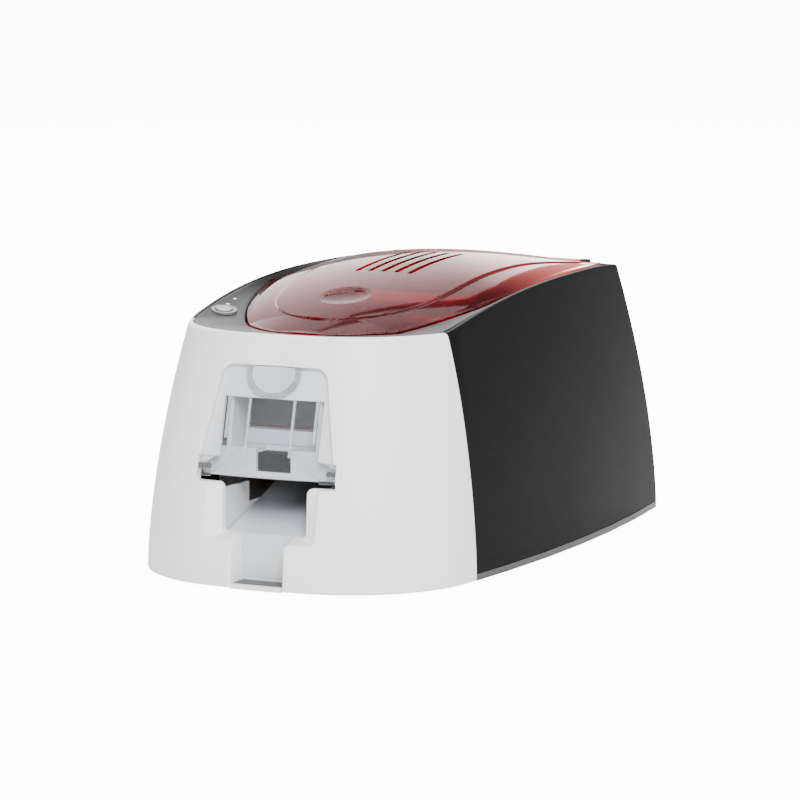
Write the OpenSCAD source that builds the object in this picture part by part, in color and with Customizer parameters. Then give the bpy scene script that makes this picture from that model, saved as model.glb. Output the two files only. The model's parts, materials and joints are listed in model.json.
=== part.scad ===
// Desktop card printer: a leaning body with a white front cover, two dark side
// covers, a see-through lid that carries the print head, and a front card feeder.
// X runs to the right, Y to the rear and Z up. The origin is under the middle.

/* [Body] */
// Width of the body at its foot
body_w = 226; // [218:1:234]
// Length of the body at its foot
body_l = 381; // [373:1:391]
// How far the front leans back at the reference height
front_lean = 38.6; // [36:0.2:42]
// How far each side leans in at the reference height
side_lean = 23; // [21:0.5:24]
// How far the rear leans in at the reference height
rear_lean = 29.3; // [27:0.1:31]
// Radius of the front face, seen from above
front_r = 256; // [240:1:270]
// Radius of the front corners, seen from above
corner_r = 79; // [74:1:82]
// Radius of the side faces, seen from above
side_r = 1184; // [1100:1:1300]
// Wall of the outer covers
wall_t = 2.6; // [2.2:0.1:3]
// Front cover's share of the length, from the front to its seam
front_cover_l = 84; // [82:1:88]
// Height of the dark strip below the side covers
strip_h = 4; // [3:0.5:6]

/* [Top] */
// Height of the front cover's top edge
front_top_z = 149.3; // [146:0.1:152]
// Highest point of the side covers' rim
rim_top_z = 167; // [163:0.5:169]
// Height of the lid's crest
lid_crest_z = 177.5; // [174:0.5:180]
// Height of the lid's edge at the rear
lid_edge_z = 166.6; // [164:0.1:168]
// Half the lid's width
lid_half_w = 91; // [88:0.5:92]
// Distance from the body's front to the lid's tip
lid_tip_gap = 63.5; // [60:0.5:68]
// Thickness of the lid
lid_t = 2.4; // [2:0.1:2.8]
// Gap round the lid
lid_gap = 0.8; // [0.6:0.1:1.2]
// Thickness of the bezel round the lid
bezel_t = 2.4; // [2:0.1:3]
// Number of cooling slots in the lid
vent_count = 5; // [3:2:5]
// Distance between cooling slots
vent_pitch = 9; // [8:0.5:11]
// Radius of the lid's hinge tube
hinge_tube_r = 3; // [2.6:0.1:3.4]
// Radius of the lid's hinge pins
hinge_pin_r = 1.5; // [1.2:0.1:1.8]

/* [Cards] */
// Length of a card
card_l = 85.6; // [84:0.1:88]
// Width of a card
card_w = 54; // [52:0.5:55]
// Thickness of a card
card_t = 0.76; // [0.6:0.02:0.8]
// Number of blank cards in the feeder
blank_count = 11; // [4:1:20]
// Number of printed cards in the hopper
printed_count = 31; // [5:1:31]

/* [Feeder and output] */
// Height of the feeder's floor
feed_z = 82; // [80:0.5:84]
// Half the width of the feeder cover at its foot
cover_half_w = 45.5; // [44:0.5:47]
// Half the width of the feeder cover below its round corners
cover_top_half_w = 33.5; // [32:0.5:35]
// Height of the feeder cover's top edge
cover_top_z = 129.5; // [127:0.5:131]
// Thickness of the feeder cover
cover_t = 2.6; // [2:0.1:3]
// Depth of the pocket behind the feeder cover
pocket_depth = 4; // [3.6:0.1:5]
// Radius of the finger dish
dish_r = 14.5; // [12:0.5:15]
// Radius of the feeder cover's pins
cover_pin_r = 1.5; // [1.2:0.1:1.7]
// Half the width of the output opening
output_half_w = 35.3; // [34:0.1:36]
// Half the width of the finger slot
finger_half_w = 17; // [14:0.5:19]
// Slope of the printed cards in degrees
output_slope = 18.6; // [16:0.1:20]

/* [Card drive] */
// Radius of the rubber rollers
roller_r = 9; // [8.5:0.1:9.2]
// Radius of the roller shafts
shaft_r = 3; // [2.5:0.1:3.5]
// Module of the gears
gear_m = 1; // [0.96:0.02:1.04]
// Width of the gears
gear_w = 6; // [4:0.5:7]
// Half the distance between the chassis plates
chassis_half_w = 43; // [42:0.5:45]
// Thickness of the chassis plates
plate_t = 2; // [1.5:0.1:2.5]
// Side of the square motors
motor_side = 35; // [32:0.5:36]
// Running clearance of a shaft in its bush
run_clear = 0.06; // [0.03:0.01:0.09]

/* [Ribbon] */
// Radius of the full ribbon roll
supply_roll_r = 15; // [12:0.5:16]
// Radius of the used ribbon roll
used_roll_r = 10; // [8.5:0.5:13]
// Radius of the spool flanges
spool_flange_r = 17; // [16.5:0.5:18]

/* [Control and rear] */
// Radius of the control button
button_r = 5; // [4:0.1:5.5]
// Travel of the control button
button_travel = 0.8; // [0.5:0.1:1]
// Height of the rubber feet below the base
foot_h = 1.5; // [1:0.1:2.5]
// Radius of the rubber feet
foot_r = 8; // [6:0.5:9]
// Thickness of the circuit board
board_t = 1.6; // [1.2:0.1:2]

/* [Hidden] */
$fn = 48;

fit_gap = 0.3;          // between pieces that are seated against each other
lap = 0.01;             // thickness of the slices that a loft is stretched between
cut = 1;                // how far a cutter runs past what it cuts

// The shell's plan, at any height
lean_z = 170;
lean_power = 1.395;
side_power = 1.757;
front_flatten = 0.196;
corner_sharpen = 0.104;
side_mid_y = 24;
rear_corner_r = 5;
loft_steps = 8;

function lean(z) = pow(max(z, 0) / lean_z, lean_power);
function front_y(z) = -body_l / 2 + front_lean * lean(z);
function side_x(z) = body_w / 2 - side_lean * pow(max(z, 0) / lean_z, side_power);
function rear_y(z) = body_l / 2 - rear_lean * lean(z);
function front_r_at(z) = front_r * (1 + front_flatten * z / lean_z);
function corner_r_at(z) = corner_r * (1 - corner_sharpen * z / lean_z);
function front_centre(z) = [0, front_y(z) + front_r_at(z)];
function side_centre(z) = [side_x(z) - side_r, side_mid_y];
function angle_of(v) = atan2(v[1], v[0]);
function arc(c, r, a0, a1, n) =
    [for (i = [0:n]) let(a = a0 + (a1 - a0) * i / n) c + r * [cos(a), sin(a)]];

// Centre of the corner arc that touches the front arc and the side arc
function corner_centre(z) =
    let(cf = front_centre(z), cs = side_centre(z),
        r1 = front_r_at(z) - corner_r_at(z), r2 = side_r - corner_r_at(z),
        d = norm(cs - cf), e = (cs - cf) / d,
        a = (r1 * r1 - r2 * r2 + d * d) / (2 * d), h = sqrt(r1 * r1 - a * a))
    cf + a * e + h * [-e[1], e[0]];

// Right half of the plan at height z, drawn in by d, from the front round to the rear
function half_outline(z, d) =
    let(cf = front_centre(z), cs = side_centre(z), cc = corner_centre(z),
        a_front = angle_of(cc - cf), a_side = angle_of(cc - cs),
        rr = max(rear_corner_r, d + 1),
        a_rear = asin((rear_y(z) - rr - side_mid_y) / (side_r - rr)),
        c_rear = cs + (side_r - rr) * [cos(a_rear), sin(a_rear)])
    concat(arc(cf, front_r_at(z) - d, -90, a_front, 4),
           arc(cc, corner_r_at(z) - d, a_front, a_side, 8),
           arc(cs, side_r - d, a_side, a_rear, 6),
           arc(c_rear, rr - d, a_rear, 90, 3));

function mirrored(points) = [for (i = [len(points) - 1:-1:0]) [-points[i][0], points[i][1]]];
function outline(z, d) = let(h = half_outline(z, d)) concat(h, mirrored(h));

function outline_at(z, d) = [for (p = outline(z, d)) [p[0], p[1], z]];

// Body of the printer between two heights, with its faces drawn in by d
module body_loft(z0, z1, d, n = loft_steps)
    for (i = [0:n - 1]) {
        foot = outline_at(z0 + (z1 - z0) * i / n, d);
        head = outline_at(z0 + (z1 - z0) * (i + 1) / n, d);
        m = len(foot);
        sides = [for (k = [0:m - 1]) let(j = (k + 1) % m) each [[k, m + k, j], [j, m + k, m + j]]];
        hull() polyhedron(concat(foot, head), concat([[for (k = [0:m - 1]) k]],
                                                     [[for (k = [m - 1:-1:0]) m + k]], sides));
    }

// Half width of the side face at a place, drawn in by d
function side_x_at(y, z, d) =
    let(c = side_centre(z)) c[0] + sqrt(pow(side_r - d, 2) - pow(y - c[1], 2));
// Front face at a place off the centre line, drawn in by d
function front_y_at(x, z, d) =
    let(c = front_centre(z)) c[1] - sqrt(pow(front_r_at(z) - d, 2) - x * x);

// Seam, rim and main heights
seam_y = -body_l / 2 + front_cover_l;
rim_mid_y = 75;
rim_drop = rim_top_z - front_top_z;
rim_power = 2.36;
function rim_z(y) =
    y < seam_y ? front_top_z
    : rim_top_z - rim_drop * pow(abs(rim_mid_y - y) / (rim_mid_y - seam_y), rim_power);
base_z = foot_h;
tray_t = 2.5;
tray_top = base_z + tray_t;
side_foot_z = base_z + strip_h + fit_gap;
top_z = rim_top_z + 3;
rear_split_x = 72;

// Draws a Y-Z polygon as a bar along X
module along_x(x0, x1) translate([x0, 0, 0]) rotate([90, 0, 90]) linear_extrude(x1 - x0) children();
module rod_x(x0, x1, y, z, r) translate([x0, y, z]) rotate([0, 90, 0]) cylinder(h = x1 - x0, r = r);
module box(low, high) translate(low) cube(high - low);

rim_curve = [for (y = [seam_y:18:seam_y + 18 * 16]) [y, rim_z(y)]];
module below_rim(drop)
    along_x(-body_w, body_w)
        polygon(concat([[seam_y - cut, -cut], [body_l, -cut], [body_l, rim_curve[16][1] - drop]],
                       [for (i = [16:-1:0]) rim_curve[i] - [0, drop]],
                       [[seam_y - cut, front_top_z - drop]]));

// ---- Base ----
foot_x = 78;
foot_front_y = seam_y - 12;
foot_rear_y = body_l / 2 - 40;
foot_sink = 1;
strip_w = 7;
slot_floor_back = 5;
screw_r = 1.5;
screw_head_r = 3;
screw_head_h = 1.6;
screw_x = chassis_half_w + plate_t + 6;
chassis_front_y = front_y(feed_z) + 28;
chassis_rear_y = chassis_front_y + 262;
screw_ys = [chassis_front_y + 12, chassis_rear_y - 12];

// Line of rollers below the card's path, and the board's height
roller_teeth = 24;
idler_teeth = 42;
pinion_teeth = 12;
roller_pitch = gear_m * (roller_teeth + idler_teeth);
pick_y = chassis_front_y + 37;
roller_z = feed_z - roller_r;
board_z = 12;

module at_feet() for (x = [-foot_x, foot_x], y = [foot_front_y, foot_rear_y]) translate([x, y, 0]) children();
module at_screws() for (x = [-screw_x, screw_x], y = screw_ys) translate([x, y, 0]) children();

module base_tray() color("#35363a") difference() {
    union() {
        difference() {
            translate([0, 0, base_z]) linear_extrude(tray_t) polygon(outline(base_z, wall_t + fit_gap));
            box([-output_half_w - jamb_w - fit_gap, -body_l, 0],
                [output_half_w + jamb_w + fit_gap, ledge_back_y + fit_gap, 9]);
        }
        box([-finger_half_w + fit_gap, front_y(base_z) + slot_floor_back, base_z],
            [finger_half_w - fit_gap, ledge_back_y + cut, tray_top]);
        translate([0, 0, base_z]) linear_extrude(strip_h) difference() {
            intersection() {
                polygon(outline(base_z, 0));
                translate([-body_w, seam_y + fit_gap / 2]) square([2 * body_w, body_l]);
            }
            polygon(outline(base_z, strip_w));
        }
        for (x = board_post_xs, y = board_post_ys)
            translate([x, y, base_z]) cylinder(h = board_z - base_z, r = board_post_r);
    }
    at_feet() cylinder(h = base_z + foot_sink, r = foot_r + fit_gap);
    at_screws() {
        cylinder(h = 9, r = screw_r + 0.2);
        cylinder(h = base_z + screw_head_h, r = screw_head_r + fit_gap);
    }
}

module rubber_feet() color("#202022") at_feet() cylinder(h = base_z + foot_sink, r = foot_r);

module base_screws() color("silver") at_screws() {
    translate([0, 0, base_z]) cylinder(h = screw_head_h, r = screw_head_r);
    translate([0, 0, base_z]) cylinder(h = tray_t + plate_t + 3, r = screw_r);
}

// ---- Front cover ----
flange_w = 4;
flange_t = 2;
flange_z = front_top_z - bezel_t - 0.8;
pocket_gap = 0.4;
cover_foot_z = 67;
shoulder_z = 62;
cover_round_r = 8.5;
cover_slope = (cover_half_w - cover_top_half_w) / 55;
cover_round_z = cover_top_z - cover_round_r;
cover_round_x = cover_half_w - cover_slope * (cover_round_z - cover_foot_z)
                - cover_round_r * sqrt(1 + cover_slope * cover_slope);
cover_axis = [0, front_y_at(cover_half_w, 70.6, 0) + 4, 70.6];
cover_bush_r = cover_pin_r + 0.9;
mouth_half_w = 33;
mouth_top_z = 112;
deep_pocket_z = 77;
deep_pocket_y = cover_axis[1] + 3.2;
dish_z = 124.1;
dish_depth = 2.2;
dish_wall = 1.8;
dish_ball_r = (dish_r * dish_r + dish_depth * dish_depth) / (2 * dish_depth);
output_top_z = 66.5;
throat_half_w = card_w / 2 + 1;
throat_y = front_y(30) + 9.5;
mouth_depth = 2.2;
jamb_w = 2.6;
ledge_back_y = front_y(30) + 14.3;
ledge_front_z = 29.5;
ledge_back_z = 32.6;
far = 60;

// Outline of the feeder cover, grown by g, as a bar along Y
module cover_prism(foot_z, g) hull() {
    x_foot = cover_half_w + cover_slope * (cover_foot_z - foot_z) + g;
    box([-x_foot, -body_l, foot_z - g], [x_foot, 0, foot_z - g + lap]);
    for (x = [-cover_round_x, cover_round_x])
        translate([x, 0, cover_round_z]) rotate([90, 0, 0])
            cylinder(h = body_l, r = cover_round_r + g, $fn = 32);
}

// Ball that sinks the finger dish into the leaning front face
module dish_ball(extra) {
    slope = atan(front_lean * lean_power * lean(dish_z) / dish_z);
    translate([0, front_y(dish_z), dish_z]) rotate([-slope, 0, 0])
        translate([0, dish_depth - dish_ball_r, 0]) sphere(r = dish_ball_r + extra, $fn = 64);
}

// Clear way through the output opening: a flared throat over a finger slot
module output_way() {
    hull() {
        box([-output_half_w - 4, front_y(30) - 20, ledge_front_z],
            [output_half_w + 4, front_y(30) - 20 + lap, output_top_z]);
        box([-throat_half_w, throat_y, ledge_back_z],
            [throat_half_w, throat_y + lap, output_top_z]);
    }
    hull() {
        box([-throat_half_w, throat_y, ledge_back_z - 0.8], [throat_half_w, throat_y + lap, output_top_z]);
        box([-throat_half_w, throat_y + far, ledge_back_z], [throat_half_w, throat_y + far + lap, output_top_z]);
    }
    box([-finger_half_w, -body_l, 0], [finger_half_w, 0, ledge_back_z + 2]);
    // The mouth keeps its full width through the leaning wall
    difference() {
        box([-output_half_w, -body_l, ledge_front_z], [output_half_w, 0, output_top_z]);
        body_loft(ledge_front_z - 9, output_top_z + 9, mouth_depth, 4);
    }
}

module front_cover() color("#e6e8ea") difference() {
    intersection() {
        body_loft(base_z, front_top_z, 0);
        union() {
            difference() {
                box([-body_w, -body_l, 0], [body_w, seam_y - fit_gap / 2, front_top_z + cut]);
                body_loft(base_z - cut, flange_z - flange_t, wall_t);
                body_loft(flange_z, front_top_z + 2 * cut, wall_t, 1);
                body_loft(flange_z - flange_t - cut, flange_z + cut, wall_t + flange_w, 1);
            }
            difference() {
                cover_prism(shoulder_z - 2, pocket_gap + wall_t);
                body_loft(shoulder_z - 9, cover_top_z + 9, pocket_depth + wall_t);
            }
            box([-output_half_w - jamb_w, -body_l, 0],
                [output_half_w + jamb_w, ledge_back_y, shoulder_z]);
        }
    }
    difference() {
        cover_prism(shoulder_z + pocket_gap, pocket_gap);
        body_loft(shoulder_z - 9, cover_top_z + 9, pocket_depth);
    }
    intersection() {
        dish_ball(dish_wall + pocket_gap);
        cover_prism(cover_foot_z, pocket_gap);
    }
    box([-mouth_half_w, -body_l, feed_z], [mouth_half_w, seam_y, mouth_top_z]);
    box([-cover_half_w - pocket_gap, -body_l, shoulder_z], [cover_half_w + pocket_gap, deep_pocket_y, deep_pocket_z]);
    box([-mouth_half_w, -body_l, shoulder_z], [mouth_half_w, seam_y, feed_z + lap]);
    output_way();
    dish_ball(0);
    for (s = [-1, 1])
        rod_x(s * (bush_x + 0.3) - 3, s * (bush_x + 0.3) + 3, cover_axis[1], cover_axis[2], cover_bush_r + 0.08);
}

// ---- Side covers and rear panel ----
module side_shell() difference() {
    body_loft(side_foot_z, top_z, 0);
    body_loft(side_foot_z - cut, top_z + cut, wall_t);
}

module side_cover(s) intersection() {
    difference() {
        side_shell();
        box([-rear_split_x, 0, 0], [rear_split_x, body_l, top_z + cut]);
    }
    below_rim(0);
    box([s < 0 ? -body_w : 0, seam_y + fit_gap / 2, 0], [s < 0 ? 0 : body_w, body_l, top_z]);
}

module left_side_cover() color("#3c3c3f") side_cover(-1);
module right_side_cover() color("#3c3c3f") side_cover(1);

socket_z = board_z + board_t;
power_x = -46;
power_w = 11;
power_h = 12;
usb_x = -18;
usb_w = 12;
usb_h = 11;
lock_x = 58;
rear_vent_count = 6;
rear_vent_pitch = 9;

module rear_panel() color("#333337") difference() {
    intersection() {
        side_shell();
        box([-rear_split_x + fit_gap, rear_y(top_z) - 30, 0], [rear_split_x - fit_gap, body_l, top_z]);
        below_rim(bezel_t + fit_gap);
    }
    for (p = [[power_x, power_w, power_h], [usb_x, usb_w, usb_h]])
        box([p[0] - p[1] / 2 - fit_gap, 0, socket_z - fit_gap],
            [p[0] + p[1] / 2 + fit_gap, body_l, socket_z + p[2] + fit_gap]);
    box([lock_x - 3.5, 0, 40], [lock_x + 3.5, body_l, 43.5]);
    for (i = [0:rear_vent_count - 1])
        box([-55, 0, 70 + i * rear_vent_pitch], [55, body_l, 73 + i * rear_vent_pitch]);
}

// ---- Lid ----
lid_front_y = -body_l / 2 + lid_tip_gap;
lid_wide_y = 100;
lid_plan_power = 2.3;
lid_side_land = 6;
hinge_y = lid_wide_y + 46;
hinge_z = lid_edge_z - 1.6;
lid_rear_y = hinge_y - 1.5;
lid_corner_r = 10;
edge_drop = 20;
crest_y = 55;
crest_drop = 30.5;
crest_fall = 9;
dome_power = 0.8;
lid_x_steps = 9;
lid_y_steps = 26;
hinge_tube_half = 64;

function lid_half(y) =
    let(t = (lid_wide_y - y) / (lid_wide_y - lid_front_y),
        nose = y < lid_wide_y ? lid_half_w * pow(max(1 - pow(max(t, 0), lid_plan_power), 0), 1 / lid_plan_power)
                              : lid_half_w,
        side = side_x_at(y, rim_z(max(y, seam_y)), 0) - lid_side_land,
        back = y > lid_rear_y - lid_corner_r
            ? lid_half_w - lid_corner_r
              + sqrt(max(pow(lid_corner_r, 2) - pow(y - lid_rear_y + lid_corner_r, 2), 0))
            : lid_half_w)
    min(nose, side, back);
function lid_edge(y) = lid_edge_z - edge_drop * pow((90 - min(max(y, -100), 90)) / 190, 1.9);
function lid_crest(y) =
    y < crest_y ? lid_crest_z - crest_drop * pow((crest_y - y) / (crest_y - lid_front_y), 2.05)
                : lid_crest_z - crest_fall * pow((y - crest_y) / (lid_rear_y - crest_y), 2.4);
function lid_z(x, y) =
    let(h = max(lid_half(y), 0.1), e = min(lid_edge(y), lid_crest(y)))
    e + (lid_crest(y) - e) * pow(max(1 - pow(min(abs(x) / h, 1), 2), 0), dome_power);

// Rows crowd together at the tip, where the lid's outline turns fast
function lid_row_y(j) = lid_front_y + 0.4 + (lid_rear_y - lid_front_y - 0.4) * pow(j / lid_y_steps, 1.55);
function lid_point(i, j, drop) =
    let(y = lid_row_y(j), x = lid_half(y) * sin(90 * i / lid_x_steps)) [x, y, lid_z(x, y) - drop];
lid_cols = 2 * lid_x_steps + 1;
lid_rows = lid_y_steps + 1;

// Closed sheet with a smooth top: points are listed row by row, top sheet first
module sheet(points, cols, rows) {
    n = cols * rows;
    top = [for (j = [0:rows - 2], i = [0:cols - 2]) let(a = j * cols + i)
           each [[a, a + cols, a + 1], [a + 1, a + cols, a + cols + 1]]];
    under = [for (j = [0:rows - 2], i = [0:cols - 2]) let(a = n + j * cols + i)
             each [[a, a + 1, a + cols], [a + 1, a + cols + 1, a + cols]]];
    rim = concat([for (i = [0:cols - 1]) i],
                 [for (j = [1:rows - 1]) j * cols + cols - 1],
                 [for (i = [cols - 2:-1:0]) (rows - 1) * cols + i],
                 [for (j = [rows - 2:-1:1]) j * cols]);
    m = len(rim);
    wall = [for (k = [0:m - 1]) let(a = rim[k], b = rim[(k + 1) % m])
            each [[a, b, b + n], [a, b + n, a + n]]];
    polyhedron(points, concat(top, under, wall), convexity = 6);
}

function lid_sheet(drop) =
    [for (j = [0:lid_rows - 1], i = [-lid_x_steps:lid_x_steps]) lid_point(i, j, drop)];

vent_y0 = -16;
vent_y1 = 61;
vent_w = 1.6;
post_xs = [-30, 30];
post_ys = [4, 44];
post_r = 3.5;
carrier_z = 150;
carrier_t = 3;
hook_y = -70;

module lid() color([0.7, 0.05, 0.1, 0.6]) difference() {
    union() {
        sheet(concat(lid_sheet(0), lid_sheet(lid_t)), lid_cols, lid_rows);
        for (x = post_xs, y = post_ys)
            translate([x, y, carrier_z + carrier_t])
                cylinder(h = lid_z(x, y) - lid_t / 2 - carrier_z - carrier_t, r = post_r, $fn = 24);
        for (x = hook_rib_xs)
            box([x - 1.5, hook_y - 3, hook_top_z], [x + 1.5, hook_y + 3, lid_z(x, hook_y) - lid_t / 2 - 0.6]);
    }
    for (i = [0:vent_count - 1]) {
        x = (i - (vent_count - 1) / 2) * vent_pitch;
        hull() {
            translate([x, vent_y0, 150]) cylinder(h = 40, d = vent_w, $fn = 8);
            translate([x, (vent_y0 + vent_y1) / 2, 150]) cylinder(h = 40, d = vent_w, $fn = 8);
        }
        hull() {
            translate([x, (vent_y0 + vent_y1) / 2, 150]) cylinder(h = 40, d = vent_w, $fn = 8);
            translate([x, vent_y1, 150]) cylinder(h = 40, d = vent_w, $fn = 8);
        }
    }
    rod_x(-body_w, body_w, hinge_y, hinge_z, hinge_tube_r + 0.15);
    for (s = [-1, 1])
        rod_x(s * hinge_block_x - hinge_block_half - 0.4, s * hinge_block_x + hinge_block_half + 0.4,
              hinge_y, hinge_z, hinge_block_r + 0.4);
}

module lid_hinge_tube() color([0.6, 0.05, 0.1]) difference() {
    rod_x(-hinge_tube_half, hinge_tube_half, hinge_y, hinge_z, hinge_tube_r);
    for (s = [-1, 1])
        rod_x(s * hinge_tube_half - 9, s * hinge_tube_half + 9, hinge_y, hinge_z, hinge_pin_r + run_clear);
}

hinge_block_half = 2.5;
hinge_block_x = hinge_tube_half + 0.9 + hinge_block_half;
hinge_block_r = hinge_tube_r + 0.2;
module lid_hinge_pins() color("silver") for (s = [-1, 1])
    rod_x(s * (hinge_tube_half - 1) - 7, s * (hinge_tube_half - 1) + 7, hinge_y, hinge_z, hinge_pin_r);

hook_rib_xs = [-5.5, 0, 5.5];
hook_top_z = 154;
hook_foot_z = 128;
hook_t = 3;
hook_swing = 5.5;       // room the hook's barb needs in front of the hook as the lid rises
module lid_latch_hook() color([0.5, 0.05, 0.08]) {
    box([-8, hook_y - hook_t / 2, hook_foot_z], [8, hook_y + hook_t / 2, hook_top_z]);
    along_x(-8, 8) polygon([[hook_y - hook_t / 2, hook_foot_z], [hook_y - hook_t / 2, hook_foot_z + 6],
                            [hook_y - hook_t / 2 - 3, hook_foot_z + 4], [hook_y - hook_t / 2 - 1, hook_foot_z]]);
}

// Bar across the chassis that the lid's hook snaps under
module latch_catch_bar() color("#4a4b50")
    difference() {
        box([-chassis_half_w, hook_y - 14, hook_foot_z + 7], [chassis_half_w, hook_y - hook_t / 2 - 0.6, hook_foot_z + 11]);
        box([-9, hook_y - hook_t / 2 - hook_swing, hook_foot_z], [9, hook_y, hook_foot_z + 20]);
    }

// ---- Bezel ----
bezel_inset = wall_t + fit_gap;
bezel_c = [0, 20];
hinge_bay_y = hinge_y + hinge_tube_r + 0.6;
trough_z = hinge_z - hinge_tube_r - 0.7;
trough_t = 1.5;
trough_half_w = 76;

function lid_edge_at(j) = let(y = lid_row_y(j)) [lid_half(y), y];
function lid_edge_out(j) =
    let(v = lid_edge_at(j + 1) - lid_edge_at(max(j - 1, 0)), n = [v[1], -v[0]] / norm(v)) lid_edge_at(j) + lid_gap * n;
function lid_loop_half() =
    concat([[0, lid_row_y(0) - lid_gap], [lid_half(lid_row_y(0)) - 1, lid_row_y(0) - lid_gap]],
           [for (j = [0:lid_y_steps - 3]) lid_edge_out(j)],
           [[lid_half(lid_rear_y - lid_corner_r) + lid_gap, lid_rear_y - lid_corner_r],
            [lid_half(lid_rear_y - lid_corner_r) + lid_gap, hinge_bay_y], [0, hinge_bay_y]]);
function cross2(a, b) = a[0] * b[1] - a[1] * b[0];
// Where the ray from the bezel's centre along v leaves the closed polygon p
function ray_hit(p, v) =
    max([for (i = [0:len(p) - 1])
         let(a = p[i] - bezel_c, b = p[(i + 1) % len(p)] - bezel_c, e = b - a, k = cross2(v, e),
             t = k == 0 ? 0 : cross2(a, e) / k, u = k == 0 ? -1 : cross2(a, v) / k)
         (u >= -0.0001 && u <= 1.0001 && t > 0) ? t : 0]);
function rim_hit(q, z) = let(v = q - bezel_c) bezel_c + v * ray_hit(outline(z, bezel_inset), v);
function bezel_outer(q) = let(p = rim_hit(q, rim_top_z - 8)) rim_hit(q, rim_z(p[1]));
function bezel_half() = let(h = lid_loop_half(), n = len(h))
    concat([for (i = [0:n - 2]) h[i]], [[70, hinge_bay_y], [35, hinge_bay_y], h[n - 1]]);
function loop_of(h) = concat(h, [for (i = [len(h) - 2:-1:1]) [-h[i][0], h[i][1]]]);
function bezel_inner_z(p) =
    p[1] > lid_rear_y ? lid_z(min(abs(p[0]), lid_half_w - lid_corner_r), lid_rear_y) - 1.2
                      : min(lid_edge(p[1]), lid_crest(p[1])) - 0.6;

module bezel_ring() {
    inner = loop_of(bezel_half());
    outer = [for (p = inner) bezel_outer(p)];
    n = len(inner);
    points = concat([for (p = inner) [p[0], p[1], bezel_inner_z(p)]],
                    [for (p = outer) [p[0], p[1], rim_z(p[1])]],
                    [for (p = outer) [p[0], p[1], rim_z(p[1]) - bezel_t]],
                    [for (p = inner) [p[0], p[1], bezel_inner_z(p) - bezel_t]]);
    faces = [for (r = [0:3], k = [0:n - 1])
             let(a = r * n + k, b = r * n + (k + 1) % n, c = ((r + 1) % 4) * n + k, d = ((r + 1) % 4) * n + (k + 1) % n)
             each [[a, b, c], [b, d, c]]];
    polyhedron(points, faces, convexity = 6);
}

button_at = [-76, seam_y + 23.5, 152.5];
button_tilt = [8, 8.5, 0];
ring_r = button_r + 3;
light_ats = [[-79.5, seam_y + 35, 154.3], [-81, seam_y + 47, 156.2]];
light_r = 1.3;
module at_button() translate(button_at) rotate(button_tilt) children();
module at_lights() for (p = light_ats) translate(p) rotate(button_tilt) children();

module top_bezel() color("#5a5b5d") {
    difference() {
        bezel_ring();
        at_button() translate([0, 0, -10]) cylinder(h = 20, r = ring_r + 0.15, $fn = 32);
        at_lights() translate([0, 0, -10]) cylinder(h = 20, r = light_r + 0.15, $fn = 16);
    }
    // Bearing blocks of the lid's hinge, which stand on a trough below the hinge tube
    for (s = [-1, 1]) difference() {
        hull() {
            rod_x(s * hinge_block_x - hinge_block_half, s * hinge_block_x + hinge_block_half,
                  hinge_y, hinge_z, hinge_block_r);
            box([s * hinge_block_x - hinge_block_half, hinge_y - 2, trough_z - trough_t / 2],
                [s * hinge_block_x + hinge_block_half, hinge_bay_y, trough_z - trough_t / 4]);
        }
        rod_x(s * hinge_tube_half - 9, s * hinge_tube_half + 9, hinge_y, hinge_z, hinge_pin_r + 0.1);
    }
    along_x(-trough_half_w, trough_half_w)
        polygon([[hinge_y - 6, trough_z - trough_t], [hinge_bay_y + trough_t, trough_z - trough_t],
                 [hinge_bay_y + trough_t, hinge_z - 0.4], [hinge_bay_y + 0.3, hinge_z - 0.4],
                 [hinge_bay_y + 0.3, trough_z], [hinge_y - 6, trough_z]]);
    // Snap tabs along the outer edge
    for (s = [-1, 1], y = [0, 50, 100]) {
        x = s * (side_x_at(y, rim_z(y), bezel_inset) - 1.4);
        hull() {
            box([x - 1, y - 4, rim_z(y) - 8], [x + 1, y + 4, rim_z(y) - 7.9]);
            box([x - 1, y - 4, rim_z(y) - bezel_t], [x + 1, y + 4, rim_z(y) - bezel_t + 0.1]);
        }
    }
}

switch_board_z = -11;
button_flange_z = -6.5;
module control_button() color("#8b8d90") at_button() difference() {
    union() {
        translate([0, 0, button_flange_z]) cylinder(h = 0.8 - button_flange_z, r = button_r);
        translate([0, 0, button_flange_z - 1]) cylinder(h = 1, r = button_r + 1.4);
    }
    translate([0, 0, button_flange_z - 1 - cut]) cylinder(h = 6, r = 2.2);
}

// Ring round the button, with a skirt that holds the switch's board
module button_ring() color("#2c2c2f") at_button() difference() {
    translate([0, 0, switch_board_z]) cylinder(h = 0.5 - switch_board_z, r = ring_r);
    translate([0, 0, switch_board_z - cut]) cylinder(h = button_flange_z + fit_gap + cut - switch_board_z, r = ring_r - 1);
    translate([0, 0, switch_board_z]) cylinder(h = 20, r = button_r + 0.2);
}

module button_switch_board() color("#1f5c3a") at_button() {
    box([-9.5, -8, switch_board_z - board_t], [11, 15, switch_board_z]);
    translate([0, 0, switch_board_z])
        cylinder(h = button_flange_z - 1 - button_travel - fit_gap - switch_board_z, r = 3);
}

module indicator_lights() color("#b8c4c8") at_lights() translate([0, 0, -4]) cylinder(h = 4.3, r = light_r);

// ---- Print head on the lid ----
platen_y = chassis_front_y + 37 + 2 * roller_pitch;
head_half_w = 32;
head_y0 = platen_y - 8;
head_y1 = platen_y + 8;
ribbon_t = 0.4;
head_foot_z = feed_z + card_t + ribbon_t + 0.9;
module print_head_carrier() color("#4d4f55") {
    box([-36, head_y0 - 14, carrier_z], [36, head_y1 + 18, carrier_z + carrier_t]);
    for (s = [-1, 1])
        box([s < 0 ? -36 : 33, head_y0, head_foot_z + 12], [s < 0 ? -33 : 36, head_y1, carrier_z]);
    box([-33, head_y0 + 5, head_foot_z + 26], [33, head_y1 - 5, head_foot_z + 30]);
}

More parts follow.
